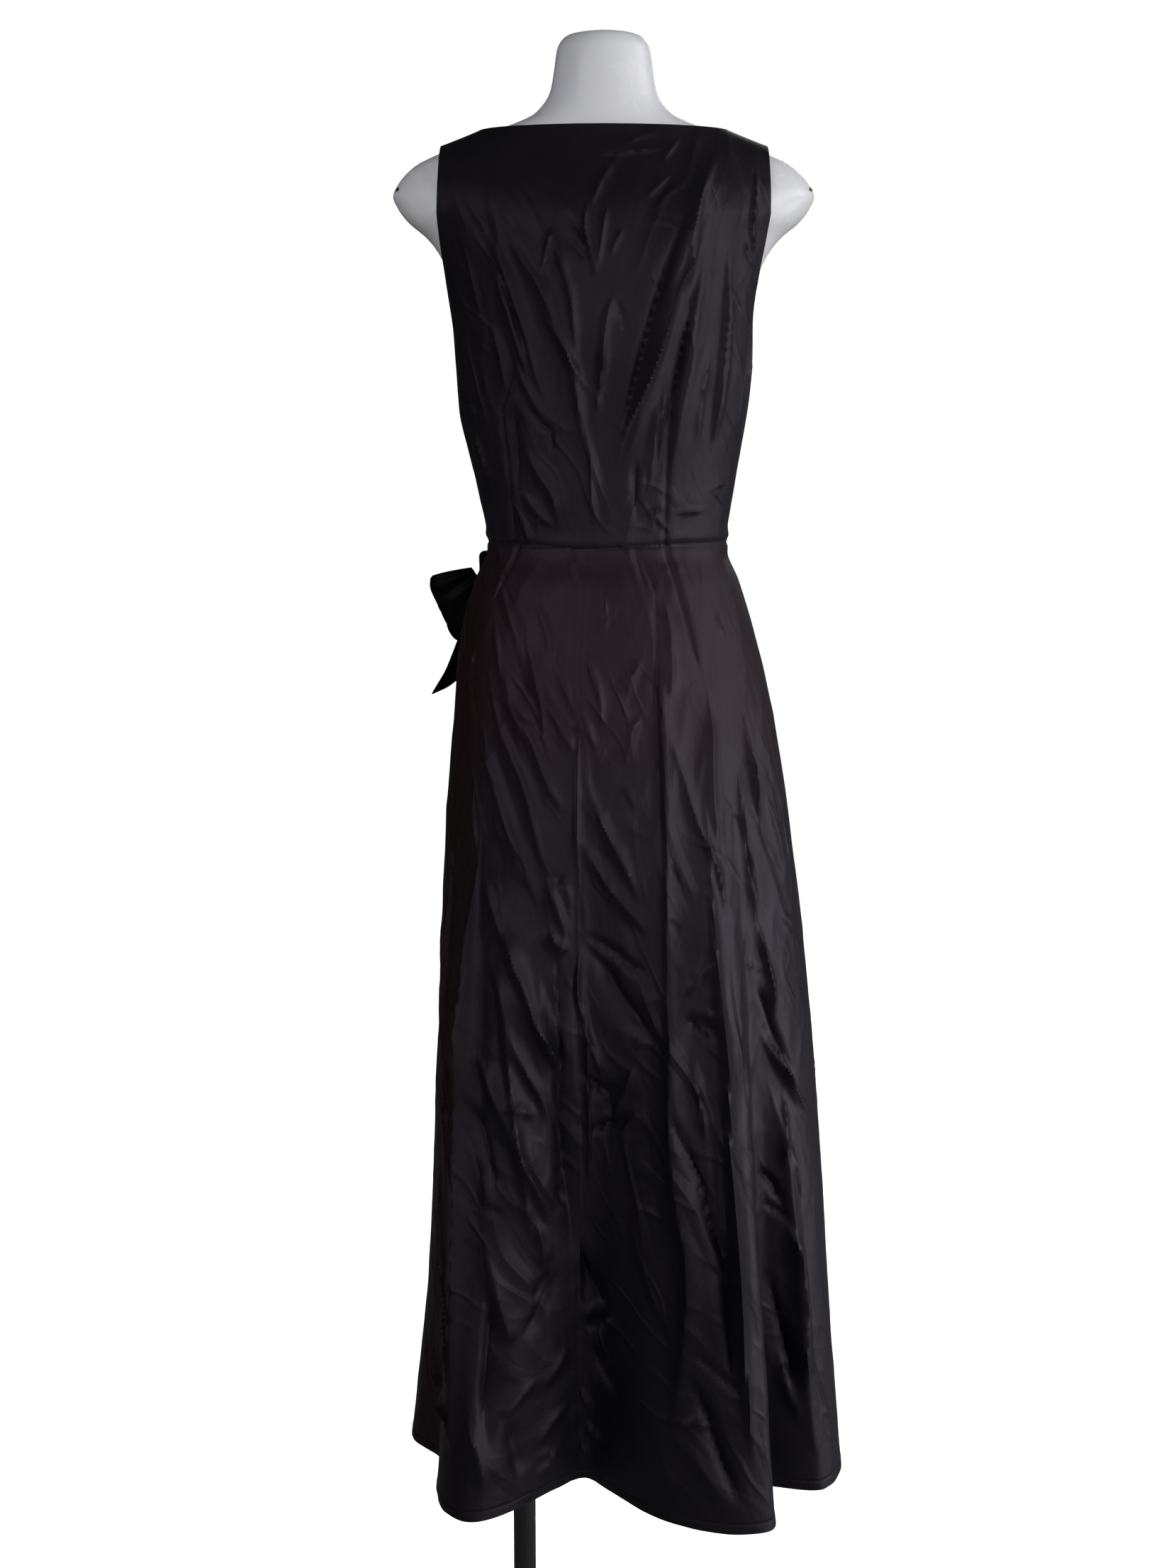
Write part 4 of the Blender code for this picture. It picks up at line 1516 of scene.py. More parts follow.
# ---- the bow ----
@dataclass
class Bow:
    """The sash bow at the wearer's left: a knot, two loops and two tails."""

    knot: Vector = field(default_factory=lambda: Vector((0.1201, -0.0705, 1.2450)))
    knot_half: Vector = field(default_factory=lambda: Vector((0.010, 0.014, 0.018)))
    knot_turn: float = -30.0
    knot_pleat: float = 0.0010
    knot_wrinkle: float = 0.0015
    gather: float = 0.026
    pleats: int = 3
    loop_pleat: float = 0.0016
    loop_wrinkle: float = 0.006
    loop_ridge: float = 0.0028
    tail_pleat: float = 0.0012
    tail_wrinkle: float = 0.005

    def loop(self, name: str, upper: Vector, lower: Vector, half_space: float, seat: float,
             seed: int) -> Piece:
        """Make a ribbon loop, gathered where it leaves the knot.

        Args:
            name: the piece's name.
            upper: the far fold's upper corner, from the knot.
            lower: the far fold's lower corner, from the knot.
            half_space: half the space inside the loop.
            seat: how far from the knot's centre the loop starts.
            seed: the seed of its creases.

        Returns:
            The piece.
        """
        way = ((upper + lower) / 2).normalized()
        thick = way.cross(upper - lower).normalized()
        upright = np.array(thick.cross(way))
        foot = np.array(self.knot + way * seat)
        low, high = np.array(self.knot + lower), np.array(self.knot + upper)
        share, along = np.meshgrid(np.linspace(0, 1, 44), np.linspace(0.92, 0.08, 120))
        out = np.sin(math.pi * along) ** 2 * (1 - 0.15 * np.abs(2 * share - 1) ** 6)
        start = foot + upright * ((share - 0.5) * self.gather)[..., None]
        end = mix(low, high, share[..., None])
        swell = half_space * np.sin(2 * math.pi * along) * np.sin(math.pi * along) * 1.3
        grain = Grain(seed)
        pleat = np.sin(share * math.pi * 2 * self.pleats + 1.1) * (1 - out) ** 0.6 * self.loop_pleat
        pleat += grain.at(share * 3.2, along * 2.4) * self.loop_wrinkle * out
        pleat += grain.ridges(share * 2.1 + 5, along * 1.3) * self.loop_ridge * out
        rounding = np.where(along > 0.5, 1, -1)
        points = mix(start, end, out[..., None]) + np.array(thick) * (
            swell + pleat * smooth((1 - np.abs(2 * along - 1)) * 4) * rounding)[..., None]
        return self.ribbon(name, points)

    def tail(self, name: str, start: Vector, tip: Vector, corner: Vector, wave: float,
             seed: int) -> Piece:
        """Make a hanging end of the ribbon, gathered at the knot and cut on a slant.

        Args:
            name: the piece's name.
            start: where it leaves the knot.
            tip: its longer corner.
            corner: its shorter corner.
            wave: the height of its ripple.
            seed: the seed of its creases.

        Returns:
            The piece.
        """
        turn = math.radians(self.knot_turn)
        line = np.array((math.sin(turn), -math.cos(turn), 0.0))
        outward = np.array((tip - start).cross(corner - tip).normalized())
        share, drop = np.meshgrid(np.linspace(0, 1, 40), np.linspace(0, 1, 90))
        top = np.array(self.knot + start) + line * (share * self.knot_half.y * 0.7)[..., None]
        end = mix(np.array(self.knot + tip), np.array(self.knot + corner), share[..., None])
        grain = Grain(seed)
        ripple = wave * np.sin(math.pi * 2 * share) * smooth(drop * 1.5)
        ripple += (np.sin(share * math.pi * 2 * self.pleats) * self.tail_pleat
                   * (1 - drop) ** 1.2 * smooth(drop * 8))
        ripple += grain.at(share * 2.6, drop * 3.1) * self.tail_wrinkle * smooth(drop * 2)
        points = mix(top, end, drop[..., None]) + outward * ripple[..., None]
        return self.ribbon(name, points)

    @staticmethod
    def ribbon(name: str, points: Array) -> Piece:
        """Turn a grid of points into ribbon with its own flat places."""
        return make_sheet(name, points, np.stack([lengths(points, 1), lengths(points, 0)], axis=-1))

    def ribbons(self) -> dict[str, Piece]:
        """Make the loops and tails.

        Returns:
            The piece that stands for each node.
        """
        return {
            "bow_loop_back": self.loop(
                "bow_loop_back_satin", Vector((0.073, -0.012, -0.012)),
                Vector((0.038, -0.016, -0.090)), half_space=0.010, seat=0.0145, seed=51),
            "bow_loop_front": self.loop(
                "bow_loop_front_satin", Vector((-0.036, -0.088, -0.006)),
                Vector((-0.022, -0.084, -0.072)), half_space=0.012, seat=0.0137, seed=52),
            "bow_tail_back": self.tail(
                "bow_tail_back_satin", Vector((0.004, 0.007, -0.0186)),
                Vector((0.064, 0.030, -0.134)), Vector((-0.006, -0.054, -0.094)),
                wave=0.002, seed=53),
            "bow_tail_front": self.tail(
                "bow_tail_front_satin", Vector((-0.0035, -0.006, -0.0186)),
                Vector((-0.008, -0.056, -0.185)), Vector((-0.050, -0.078, -0.150)),
                wave=-0.002, seed=54),
        }

    def tie(self, name: str) -> Piece:
        """Make the knot: a short wrap of ribbon with soft pleats across it.

        Args:
            name: the piece's name.

        Returns:
            The piece.
        """
        select_only()
        bpy.ops.mesh.primitive_cube_add(size=2, location=self.knot,
                                        rotation=(0, 0, math.radians(self.knot_turn)))
        piece = bpy.context.object
        piece.name = piece.data.name = name
        piece.scale = self.knot_half
        settle(piece)
        bevel = piece.modifiers.new("rounding", "BEVEL")
        bevel.width = self.knot_half.x * 0.6
        bevel.segments = 4
        fine = piece.modifiers.new("fine", "SUBSURF")
        fine.subdivision_type = "SIMPLE"
        fine.levels = fine.render_levels = 3
        apply_all(piece)
        turn = Matrix.Rotation(math.radians(-self.knot_turn), 3, "Z")
        grain = Grain(41)
        for vertex in piece.data.vertices:
            local = turn @ (vertex.co - self.knot)
            uneven = float(grain.at(np.array(local.y * 90), np.array(local.z * 60)))
            depth = self.knot_pleat * (math.sin(local.y * 190 + local.z * 40) - 1)
            depth += self.knot_wrinkle * uneven - 0.0004
            off = Vector((local.x, 0, local.z))
            length = max(off.length, 1e-6)
            local += off / length * min(depth, 0.0)
            vertex.co = turn.inverted() @ local + self.knot
        finish_shading(piece, 70)
        return piece


# ---- the dress form and its stand ----
@dataclass
class DressForm:
    """The smooth white form, from thigh to neck, with the pole's blind bore."""

    name: str
    around: int = 160
    step: float = 0.0042
    bends: tuple[float, ...] = (1.600, 1.622, 1.776)

    def make(self) -> Piece:
        """Make the form's mesh.

        Returns:
            The piece.
        """
        heights = crowded(FORM_BOTTOM, FORM_TOP, self.step, self.bends, 2.5, 0.012)
        angle, height = np.meshgrid(np.linspace(0, -360, self.around + 1), heights)
        x, y = form_section(height).point(angle)
        piece = lay_grid(self.name, np.stack([x, y, height], axis=-1))
        bpy.ops.object.mode_set(mode="EDIT")
        bpy.ops.mesh.select_all(action="SELECT")
        bpy.ops.mesh.remove_doubles(threshold=1e-5)
        bpy.ops.mesh.select_all(action="DESELECT")
        bpy.ops.mesh.select_mode(type="EDGE")
        bpy.ops.mesh.select_non_manifold()
        bpy.ops.mesh.fill()
        bpy.ops.mesh.select_all(action="SELECT")
        bpy.ops.mesh.normals_make_consistent(inside=False)
        bpy.ops.object.mode_set(mode="OBJECT")
        self.bore(piece)
        finish_shading(piece, 45)
        return piece

    def bore(self, piece: Piece) -> None:
        """Cut the pole's bore into the form's underside.

        Args:
            piece: the form's mesh.
        """
        select_only()
        bpy.ops.mesh.primitive_cylinder_add(vertices=48, radius=BORE_RADIUS, depth=2 * BORE_DEPTH,
                                            location=(POLE_X, 0, FORM_BOTTOM))
        cutter = bpy.context.object
        cut = piece.modifiers.new("pole bore", "BOOLEAN")
        cut.object = cutter
        cut.operation = "DIFFERENCE"
        apply_all(piece)
        bpy.data.objects.remove(cutter)


@dataclass(frozen=True)
class Lamp:
    """One soft light: its place, the height it aims at on the axis, its size and its light."""

    name: str
    place: Triple
    aim: float
    size: Pair
    power: float
    colour: Triple
    spread: float = 180.0
    mirrored: bool = True

    def hang(self) -> None:
        """Add the light to the scene."""
        lamp = bpy.data.lights.new(self.name, "AREA")
        lamp.shape = "RECTANGLE"
        lamp.size, lamp.size_y = self.size
        lamp.energy = self.power
        lamp.color = self.colour
        lamp.spread = math.radians(self.spread)
        holder = bpy.data.objects.new(self.name, lamp)
        bpy.context.scene.collection.objects.link(holder)
        holder.location = self.place
        way = Vector((0, 0, self.aim)) - Vector(self.place)
        holder.rotation_euler = way.to_track_quat("-Z", "Y").to_euler()
        holder.visible_glossy = self.mirrored


LAMPS = (
    Lamp("key", (-3.0, 2.2, 1.3), 1.1, (2.0, 2.4), 50.0, (1.0, 0.99, 0.97)),
    Lamp("side", (-2.9, 0.0, 2.7), 0.9, (1.6, 1.6), 20.0, (0.97, 0.98, 1.0)),
    Lamp("low side", (-3.2, 0.1, 0.6), 0.55, (1.4, 1.4), 2.6, (0.97, 0.98, 1.0), spread=45.0),
    Lamp("fill", (1.7, 2.4, 2.4), 1.6, (1.6, 1.6), 22.0, (0.95, 0.96, 1.0), mirrored=False),
    Lamp("cap", (-3.0, 1.6, 2.4), 1.6, (1.6, 1.6), 24.0, (0.97, 0.98, 1.0), mirrored=False),
    Lamp("room", (0.6, 3.7, 1.8), 1.5, (2.0, 1.3), 14.0, (1.0, 0.98, 1.0)),
    Lamp("left", (2.4, 2.6, 2.2), 1.02, (0.8, 0.8), 0.5, (1.0, 0.98, 1.0), spread=24.0),
    Lamp("front", (-0.8, -3.0, 2.4), 1.0, (2.0, 2.0), 30.0, (1.0, 1.0, 1.0)),
)


@dataclass
class Studio:
    """A plain pale floor that curves up behind, soft lights and the camera.

    Sizes are in metres, the camera's pitch in degrees and its lens in millimetres.
    """

    half: float = 12.0
    back: float = 7.0
    rise: float = 7.0
    curve: float = 3.0
    eye: Triple = (0.0161, 2.1, 1.39)
    pitch: float = -10.0
    lens: float = 46.06
    air: Triple = (0.95, 0.96, 1.0)
    air_strength: float = 0.022

    def floor(self) -> None:
        """Make the floor, with its far edge curved up into a backdrop."""
        select_only()
        bpy.ops.mesh.primitive_plane_add(size=2 * self.half, location=(0, self.half - self.back, 0))
        sheet = bpy.context.object
        sheet.name = "studio_floor"
        settle(sheet)
        bpy.ops.object.mode_set(mode="EDIT")
        bpy.ops.mesh.select_all(action="DESELECT")
        bpy.ops.object.mode_set(mode="OBJECT")
        far = {corner.index for corner in sheet.data.vertices if corner.co.y < 0.01 - self.back}
        for edge in sheet.data.edges:
            edge.select = far.issuperset(edge.vertices)
        bpy.ops.object.mode_set(mode="EDIT")
        bpy.ops.mesh.select_mode(type="EDGE")
        bpy.ops.mesh.extrude_region_move(TRANSFORM_OT_translate={"value": (0, 0, self.rise)})
        bpy.ops.object.mode_set(mode="OBJECT")
        bend = sheet.modifiers.new("curve", "BEVEL")
        bend.width = self.curve
        bend.segments = 16
        bend.limit_method = "ANGLE"
        apply_all(sheet)
        finish_shading(sheet, 60)
        sheet.data.materials.append(Paper("studio paper").material())

    def lights(self) -> None:
        """Light the studio with its lamps and dim air, which looks white to the camera."""
        world = bpy.data.worlds.new("studio air")
        tree = Tree(world)
        air = tree.nodes["Background"]
        air.inputs["Color"].default_value = (*self.air, 1.0)
        air.inputs["Strength"].default_value = self.air_strength
        seen = tree.node("ShaderNodeLightPath", output="Is Camera Ray")
        pale = tree.node("ShaderNodeBackground", None, {"Color": (1.0, 1.0, 1.0, 1.0)})
        either = tree.node("ShaderNodeMixShader", None, {0: seen, 1: Wire(tree, air.outputs[0]),
                                                         2: pale})
        tree.links.new(either.socket, tree.nodes["World Output"].inputs["Surface"])
        bpy.context.scene.world = world
        for lamp in LAMPS:
            lamp.hang()

    def camera(self) -> None:
        """Add the camera, behind the dress and a little above its waist, tilted down."""
        lens = bpy.data.cameras.new("camera")
        lens.sensor_width = 36.0
        lens.sensor_fit = "AUTO"
        lens.lens = self.lens
        holder = bpy.data.objects.new("camera", lens)
        bpy.context.scene.collection.objects.link(holder)
        holder.location = self.eye
        holder.rotation_euler = (math.radians(90 + self.pitch), 0, math.radians(180))
        bpy.context.scene.camera = holder
        bpy.context.scene.view_settings.view_transform = "Standard"


# ---- creases, by region ----
# Each row: how far it stands out and its fade to the wearer's left and right, then its line from
# the top down as (across, height) points. All are in millimetres, but a skirt's places across are
# its bearings in degrees.
BODICE_BACK_CREASES = creases([
    (5, 22, 20, (-114, 1665), (-100, 1629), (-82, 1588), (-66, 1537), (-56, 1495), (-41, 1437),
     (-30, 1388), (-12, 1342)),
    (2.4, 9, 10, (-103, 1640), (-83, 1579), (-80, 1540), (-76, 1510)),
    (4, 13, 32, (-105, 1579), (-93, 1531), (-83, 1492), (-82, 1456), (-74, 1417), (-68, 1369),
     (-67, 1333)),
    (2.5, 10, 9, (-127, 1573), (-130, 1498), (-124, 1429), (-118, 1369)),
    (1.6, 10, 9, (-107, 1477), (-97, 1423), (-94, 1366)),
    (-1.3, 7, 6, (-129, 1534), (-143, 1516), (-156, 1501)),
    (1.6, 6, 6, (-157, 1656), (-151, 1600), (-156, 1573), (-171, 1549)),
    (1.2, 6, 6, (-145, 1582), (-151, 1561), (-170, 1546)),
    (2.4, 15, 9, (107, 1608), (87, 1564), (64, 1530), (47, 1493), (34, 1463), (26, 1423),
     (21, 1380), (12, 1350)),
    (2.1, 13, 9, (123, 1588), (108, 1561), (92, 1521), (78, 1485), (67, 1442), (54, 1405)),
    (2.3, 12, 8, (53, 1585), (42, 1554), (32, 1518), (29, 1484), (26, 1450)),
    (1.6, 8, 7, (50, 1585), (56, 1563), (63, 1536)),
    (-1.4, 6, 6, (41, 1579), (27, 1563), (14, 1548)),
    (1.6, 7, 7, (16, 1619), (19, 1582), (11, 1548), (9, 1533)),
    (1.6, 7, 7, (-3, 1608), (3, 1573), (8, 1536)),
    (1.1, 6, 6, (-18, 1585), (-10, 1567), (-2, 1551)),
    (1.2, 7, 6, (49, 1626), (36, 1600), (25, 1579)),
    (1.2, 7, 7, (-11, 1652), (3, 1628), (16, 1597)),
    (2.2, 9, 16, (-12, 1530), (-1, 1496), (2, 1463), (6, 1423)),
    (1.8, 8, 8, (5, 1478), (2, 1454), (6, 1423), (10, 1396)),
    (-1.2, 6, 6, (-6, 1518), (-17, 1500), (-19, 1478)),
    (-1.7, 7, 6, (82, 1419), (64, 1397), (53, 1387), (52, 1360)),
    (1.6, 8, 8, (93, 1467), (82, 1440), (68, 1415), (57, 1396)),
    (2.2, 9, 12, (82, 1371), (64, 1345), (50, 1323), (45, 1284)),
    (1.6, 8, 8, (88, 1332), (68, 1310), (48, 1293)),
    (2, 11, 8, (108, 1534), (99, 1513), (83, 1464), (73, 1430)),
    (1.7, 9, 8, (120, 1498), (106, 1462), (99, 1416)),
    (1.7, 8, 10, (18, 1396), (13, 1353), (12, 1322), (7, 1289)),
    (-1.7, 7, 7, (-31, 1367), (-31, 1334), (-34, 1295)),
    (1.7, 8, 8, (-52, 1425), (-49, 1383), (-45, 1326)),
    (1.5, 7, 7, (-59, 1431), (-55, 1395), (-55, 1353)),
    (1.2, 5, 5, (-38, 1307), (-52, 1311), (-64, 1318)),
    (1.2, 5, 5, (-45, 1311), (-60, 1297), (-68, 1291)),
    (1.2, 5, 5, (-69, 1309), (-90, 1309), (-112, 1312)),
    (1.3, 5, 5, (-111, 1330), (-127, 1336), (-142, 1336)),
    (1.1, 5, 5, (-111, 1333), (-129, 1324), (-146, 1309)),
    (1, 5, 5, (22, 1656), (-19, 1656), (-67, 1663)),
    (0.9, 5, 5, (-20, 1666), (-36, 1673), (-55, 1679)),
    (0.9, 6, 6, (-54, 1645), (-66, 1661), (-76, 1674)),
    (0.9, 7, 7, (-37, 1608), (-51, 1622), (-69, 1639)),
    (0.9, 7, 7, (-46, 1597), (-63, 1615), (-83, 1631)),
    (1.2, 6, 6, (160, 1426), (148, 1411), (136, 1399)),
    (1.5, 6, 6, (153, 1396), (138, 1369), (126, 1333)),
    (1, 6, 6, (157, 1555), (150, 1543), (141, 1531)),
    (-2, 14, 12, (95, 1422), (92, 1383), (90, 1326)),
    (-3, 9, 9, (-83, 1615), (-68, 1573), (-56, 1534), (-45, 1497), (-34, 1455), (-23, 1415),
     (-15, 1381)),
    (2.6, 5, 6, (-103, 1627), (-91, 1594), (-84, 1555), (-68, 1522), (-56, 1483), (-41, 1440),
     (-27, 1406), (-15, 1372), (-12, 1348)),
    (-2.4, 6, 8, (-85, 1525), (-79, 1492), (-74, 1459), (-67, 1420), (-64, 1381)),
    (2, 5, 7, (-126, 1558), (-126, 1516), (-121, 1459), (-115, 1399), (-114, 1360)),
    (-1.8, 5, 5, (120, 1567), (101, 1531), (88, 1491), (73, 1458)),
    (1.8, 5, 7, (67, 1512), (42, 1475), (29, 1450), (10, 1417)),
    (-1.6, 4, 5, (41, 1605), (25, 1579), (10, 1542)),
], MILLIMETRES)
BODICE_FRONT_CREASES = creases([
    (3.2, 16, 12, (-120, 1610), (-85, 1530), (-60, 1440), (-45, 1360)),
    (2.4, 12, 14, (118, 1600), (90, 1520), (70, 1440), (52, 1350)),
    (2, 10, 9, (55, 1620), (40, 1560), (30, 1500)),
    (1.8, 9, 9, (-50, 1600), (-38, 1540), (-20, 1490)),
    (1.6, 8, 10, (12, 1590), (4, 1520), (10, 1450)),
    (2.2, 12, 9, (150, 1480), (120, 1430), (100, 1370), (85, 1310)),
    (2.2, 9, 12, (-150, 1470), (-125, 1420), (-105, 1350), (-90, 1300)),
    (-1.6, 8, 8, (30, 1420), (20, 1360), (28, 1300)),
    (1.8, 9, 8, (-20, 1410), (-10, 1350), (-18, 1290)),
    (1.6, 8, 7, (62, 1370), (50, 1330), (46, 1288)),
    (1.4, 7, 7, (-70, 1340), (-52, 1310), (-48, 1286)),
    (1.3, 6, 6, (70, 1655), (20, 1648), (-40, 1655)),
    (1.2, 6, 6, (130, 1300), (105, 1305), (80, 1300)),
    (1.2, 6, 6, (-85, 1320), (-110, 1312), (-135, 1318)),
], MILLIMETRES)
SKIRT_LEFT_CREASES = creases([
    (2.6, 14, 9, (49.5, 1151), (40.5, 1113), (31, 1088), (25, 1056), (19, 1027), (14, 1011)),
    (2.5, 14, 9, (52, 1123), (41.5, 1078), (32, 1037), (26.5, 996), (23.5, 968), (18.5, 944)),
    (2, 11, 8, (40.5, 1201), (32.5, 1160), (27, 1123), (25, 1087), (21.5, 1067), (14.5, 1047)),
    (2, 10, 8, (34.5, 1148), (24, 1119), (15.5, 1087), (12, 1067)),
    (1.5, 8, 7, (25, 1191), (18.5, 1154), (14, 1114)),
    (1.4, 8, 7, (35, 1220), (28, 1195), (23.5, 1167)),
    (2.6, 15, 10, (58.5, 1111), (48, 1047), (37, 989), (31.5, 965), (28.5, 945), (24, 916)),
    (2.4, 12, 9, (48, 943), (40, 906), (35, 874)),
    (2.6, 10, 8, (22.5, 956), (17.5, 916), (14.5, 884)),
    (1.6, 7, 6, (18, 948), (14.5, 936), (12.5, 916)),
    (-1.6, 6, 5, (34.5, 977), (31.5, 961), (28.5, 945)),
    (-1.5, 6, 5, (21, 952), (17, 948), (14, 951)),
    (1.4, 8, 8, (57, 1203), (50.5, 1171), (48, 1142)),
    (1.2, 6, 6, (69.5, 1175), (65, 1159), (67.5, 1135)),
    (3.8, 17, 12, (40.5, 910), (34.5, 882), (30.5, 853), (27, 825), (23, 797), (18.5, 765),
     (13, 729)),
    (2.2, 6, 8, (27, 833), (22, 797), (17.5, 761), (13.5, 729)),
    (-2.6, 13, 11, (46, 727), (38.5, 687), (34, 650), (32, 622)),
    (-1.3, 6, 5, (35.5, 619), (32, 610), (29.5, 606)),
    (2.6, 10, 8, (20.5, 904), (18, 884), (12.5, 876)),
    (2, 9, 9, (19, 872), (18, 832), (15.5, 789), (13, 753)),
    (-1.4, 5, 5, (17, 645), (15, 645), (12, 645)),
    (-1.5, 6, 6, (16.5, 634), (15, 618), (14, 610)),
    (1.8, 9, 9, (34, 718), (27.5, 714), (22.5, 705)),
    (5, 13, 10, (53, 983), (51, 903), (48.5, 823), (46.5, 751), (44, 667), (40.5, 567), (38, 471),
     (38, 395), (37.5, 339)),
    (2.2, 8, 7, (74.5, 743), (61.5, 707), (51.5, 671), (45, 635)),
    (2.4, 8, 8, (70.5, 419), (64.5, 379), (41.5, 391), (38, 359)),
    (2.2, 7, 10, (34.5, 591), (30, 523), (27.5, 487), (26, 471)),
    (-1.2, 9, 9, (25, 471), (22, 495), (19, 522), (15.5, 542)),
    (1.8, 9, 9, (22.5, 602), (21, 574), (19.5, 542)),
    (-1.3, 10, 10, (17.5, 546), (21, 526), (22, 510)),
    (1.3, 9, 9, (13.5, 459), (17, 435), (21, 415)),
    (1.3, 10, 10, (13, 395), (18.5, 375), (21.5, 351)),
    (1.1, 8, 8, (16, 343), (19, 331), (21, 320)),
    (-3.6, 12, 16, (33.5, 547), (31, 503), (30.5, 455), (30, 411), (28.5, 359)),
    (2.2, 10, 10, (34, 403), (30.5, 363), (29, 323)),
    (-2, 8, 10, (26.5, 407), (24.5, 359), (23.5, 327)),
    (1.6, 8, 8, (28, 403), (26, 407), (23.5, 423), (20, 427)),
    (1.2, 6, 6, (21, 351), (19, 343), (16, 339)),
    (2, 8, 8, (72, 711), (62.5, 659), (52.5, 595)),
    (1.5, 7, 7, (58.5, 1039), (55.5, 995), (52, 955)),
    (1.8, 8, 8, (55, 1075), (47.5, 1051), (41, 1030)),
    (1.5, 8, 7, (46.5, 1007), (42, 990), (37, 978)),
    (2.4, 5, 5, (53, 1003), (51, 923), (50.5, 851), (48.5, 795), (46.5, 707), (44, 639), (41, 563)),
    (2.2, 5, 5, (43, 611), (40, 499), (39, 439), (38, 367)),
    (1.8, 4, 5, (69.5, 995), (70, 911), (70.5, 839), (72, 775), (71.5, 711)),
    (1.8, 4, 4, (73.5, 631), (68.5, 567), (64.5, 499), (48, 451), (43.5, 391)),
    (2.8, 7, 22, (43, 946), (36, 898), (31.5, 861), (25.5, 825), (19, 777), (14.5, 737)),
    (2.6, 7, 22, (47, 879), (38.5, 842), (34.5, 818), (31, 778), (25.5, 745), (21, 717),
     (16.5, 677)),
    (2.8, 7, 24, (45, 767), (39, 747), (34, 718), (26, 654), (21.5, 618), (17, 574)),
    (-3.4, 24, 7, (18.5, 892), (17, 832), (15.5, 761), (14.5, 685), (12.5, 610), (12, 538)),
    (2.6, 6, 16, (38, 846), (34.5, 802), (32, 762), (29, 690), (25.5, 622), (23, 562)),
])
RIGHT_FLUTE = ((-38, 1039), (-37, 991), (-35.5, 915), (-34.5, 835), (-34.5, 767), (-33, 683),
               (-32.5, 599), (-32, 515), (-32, 423), (-32.5, 359))
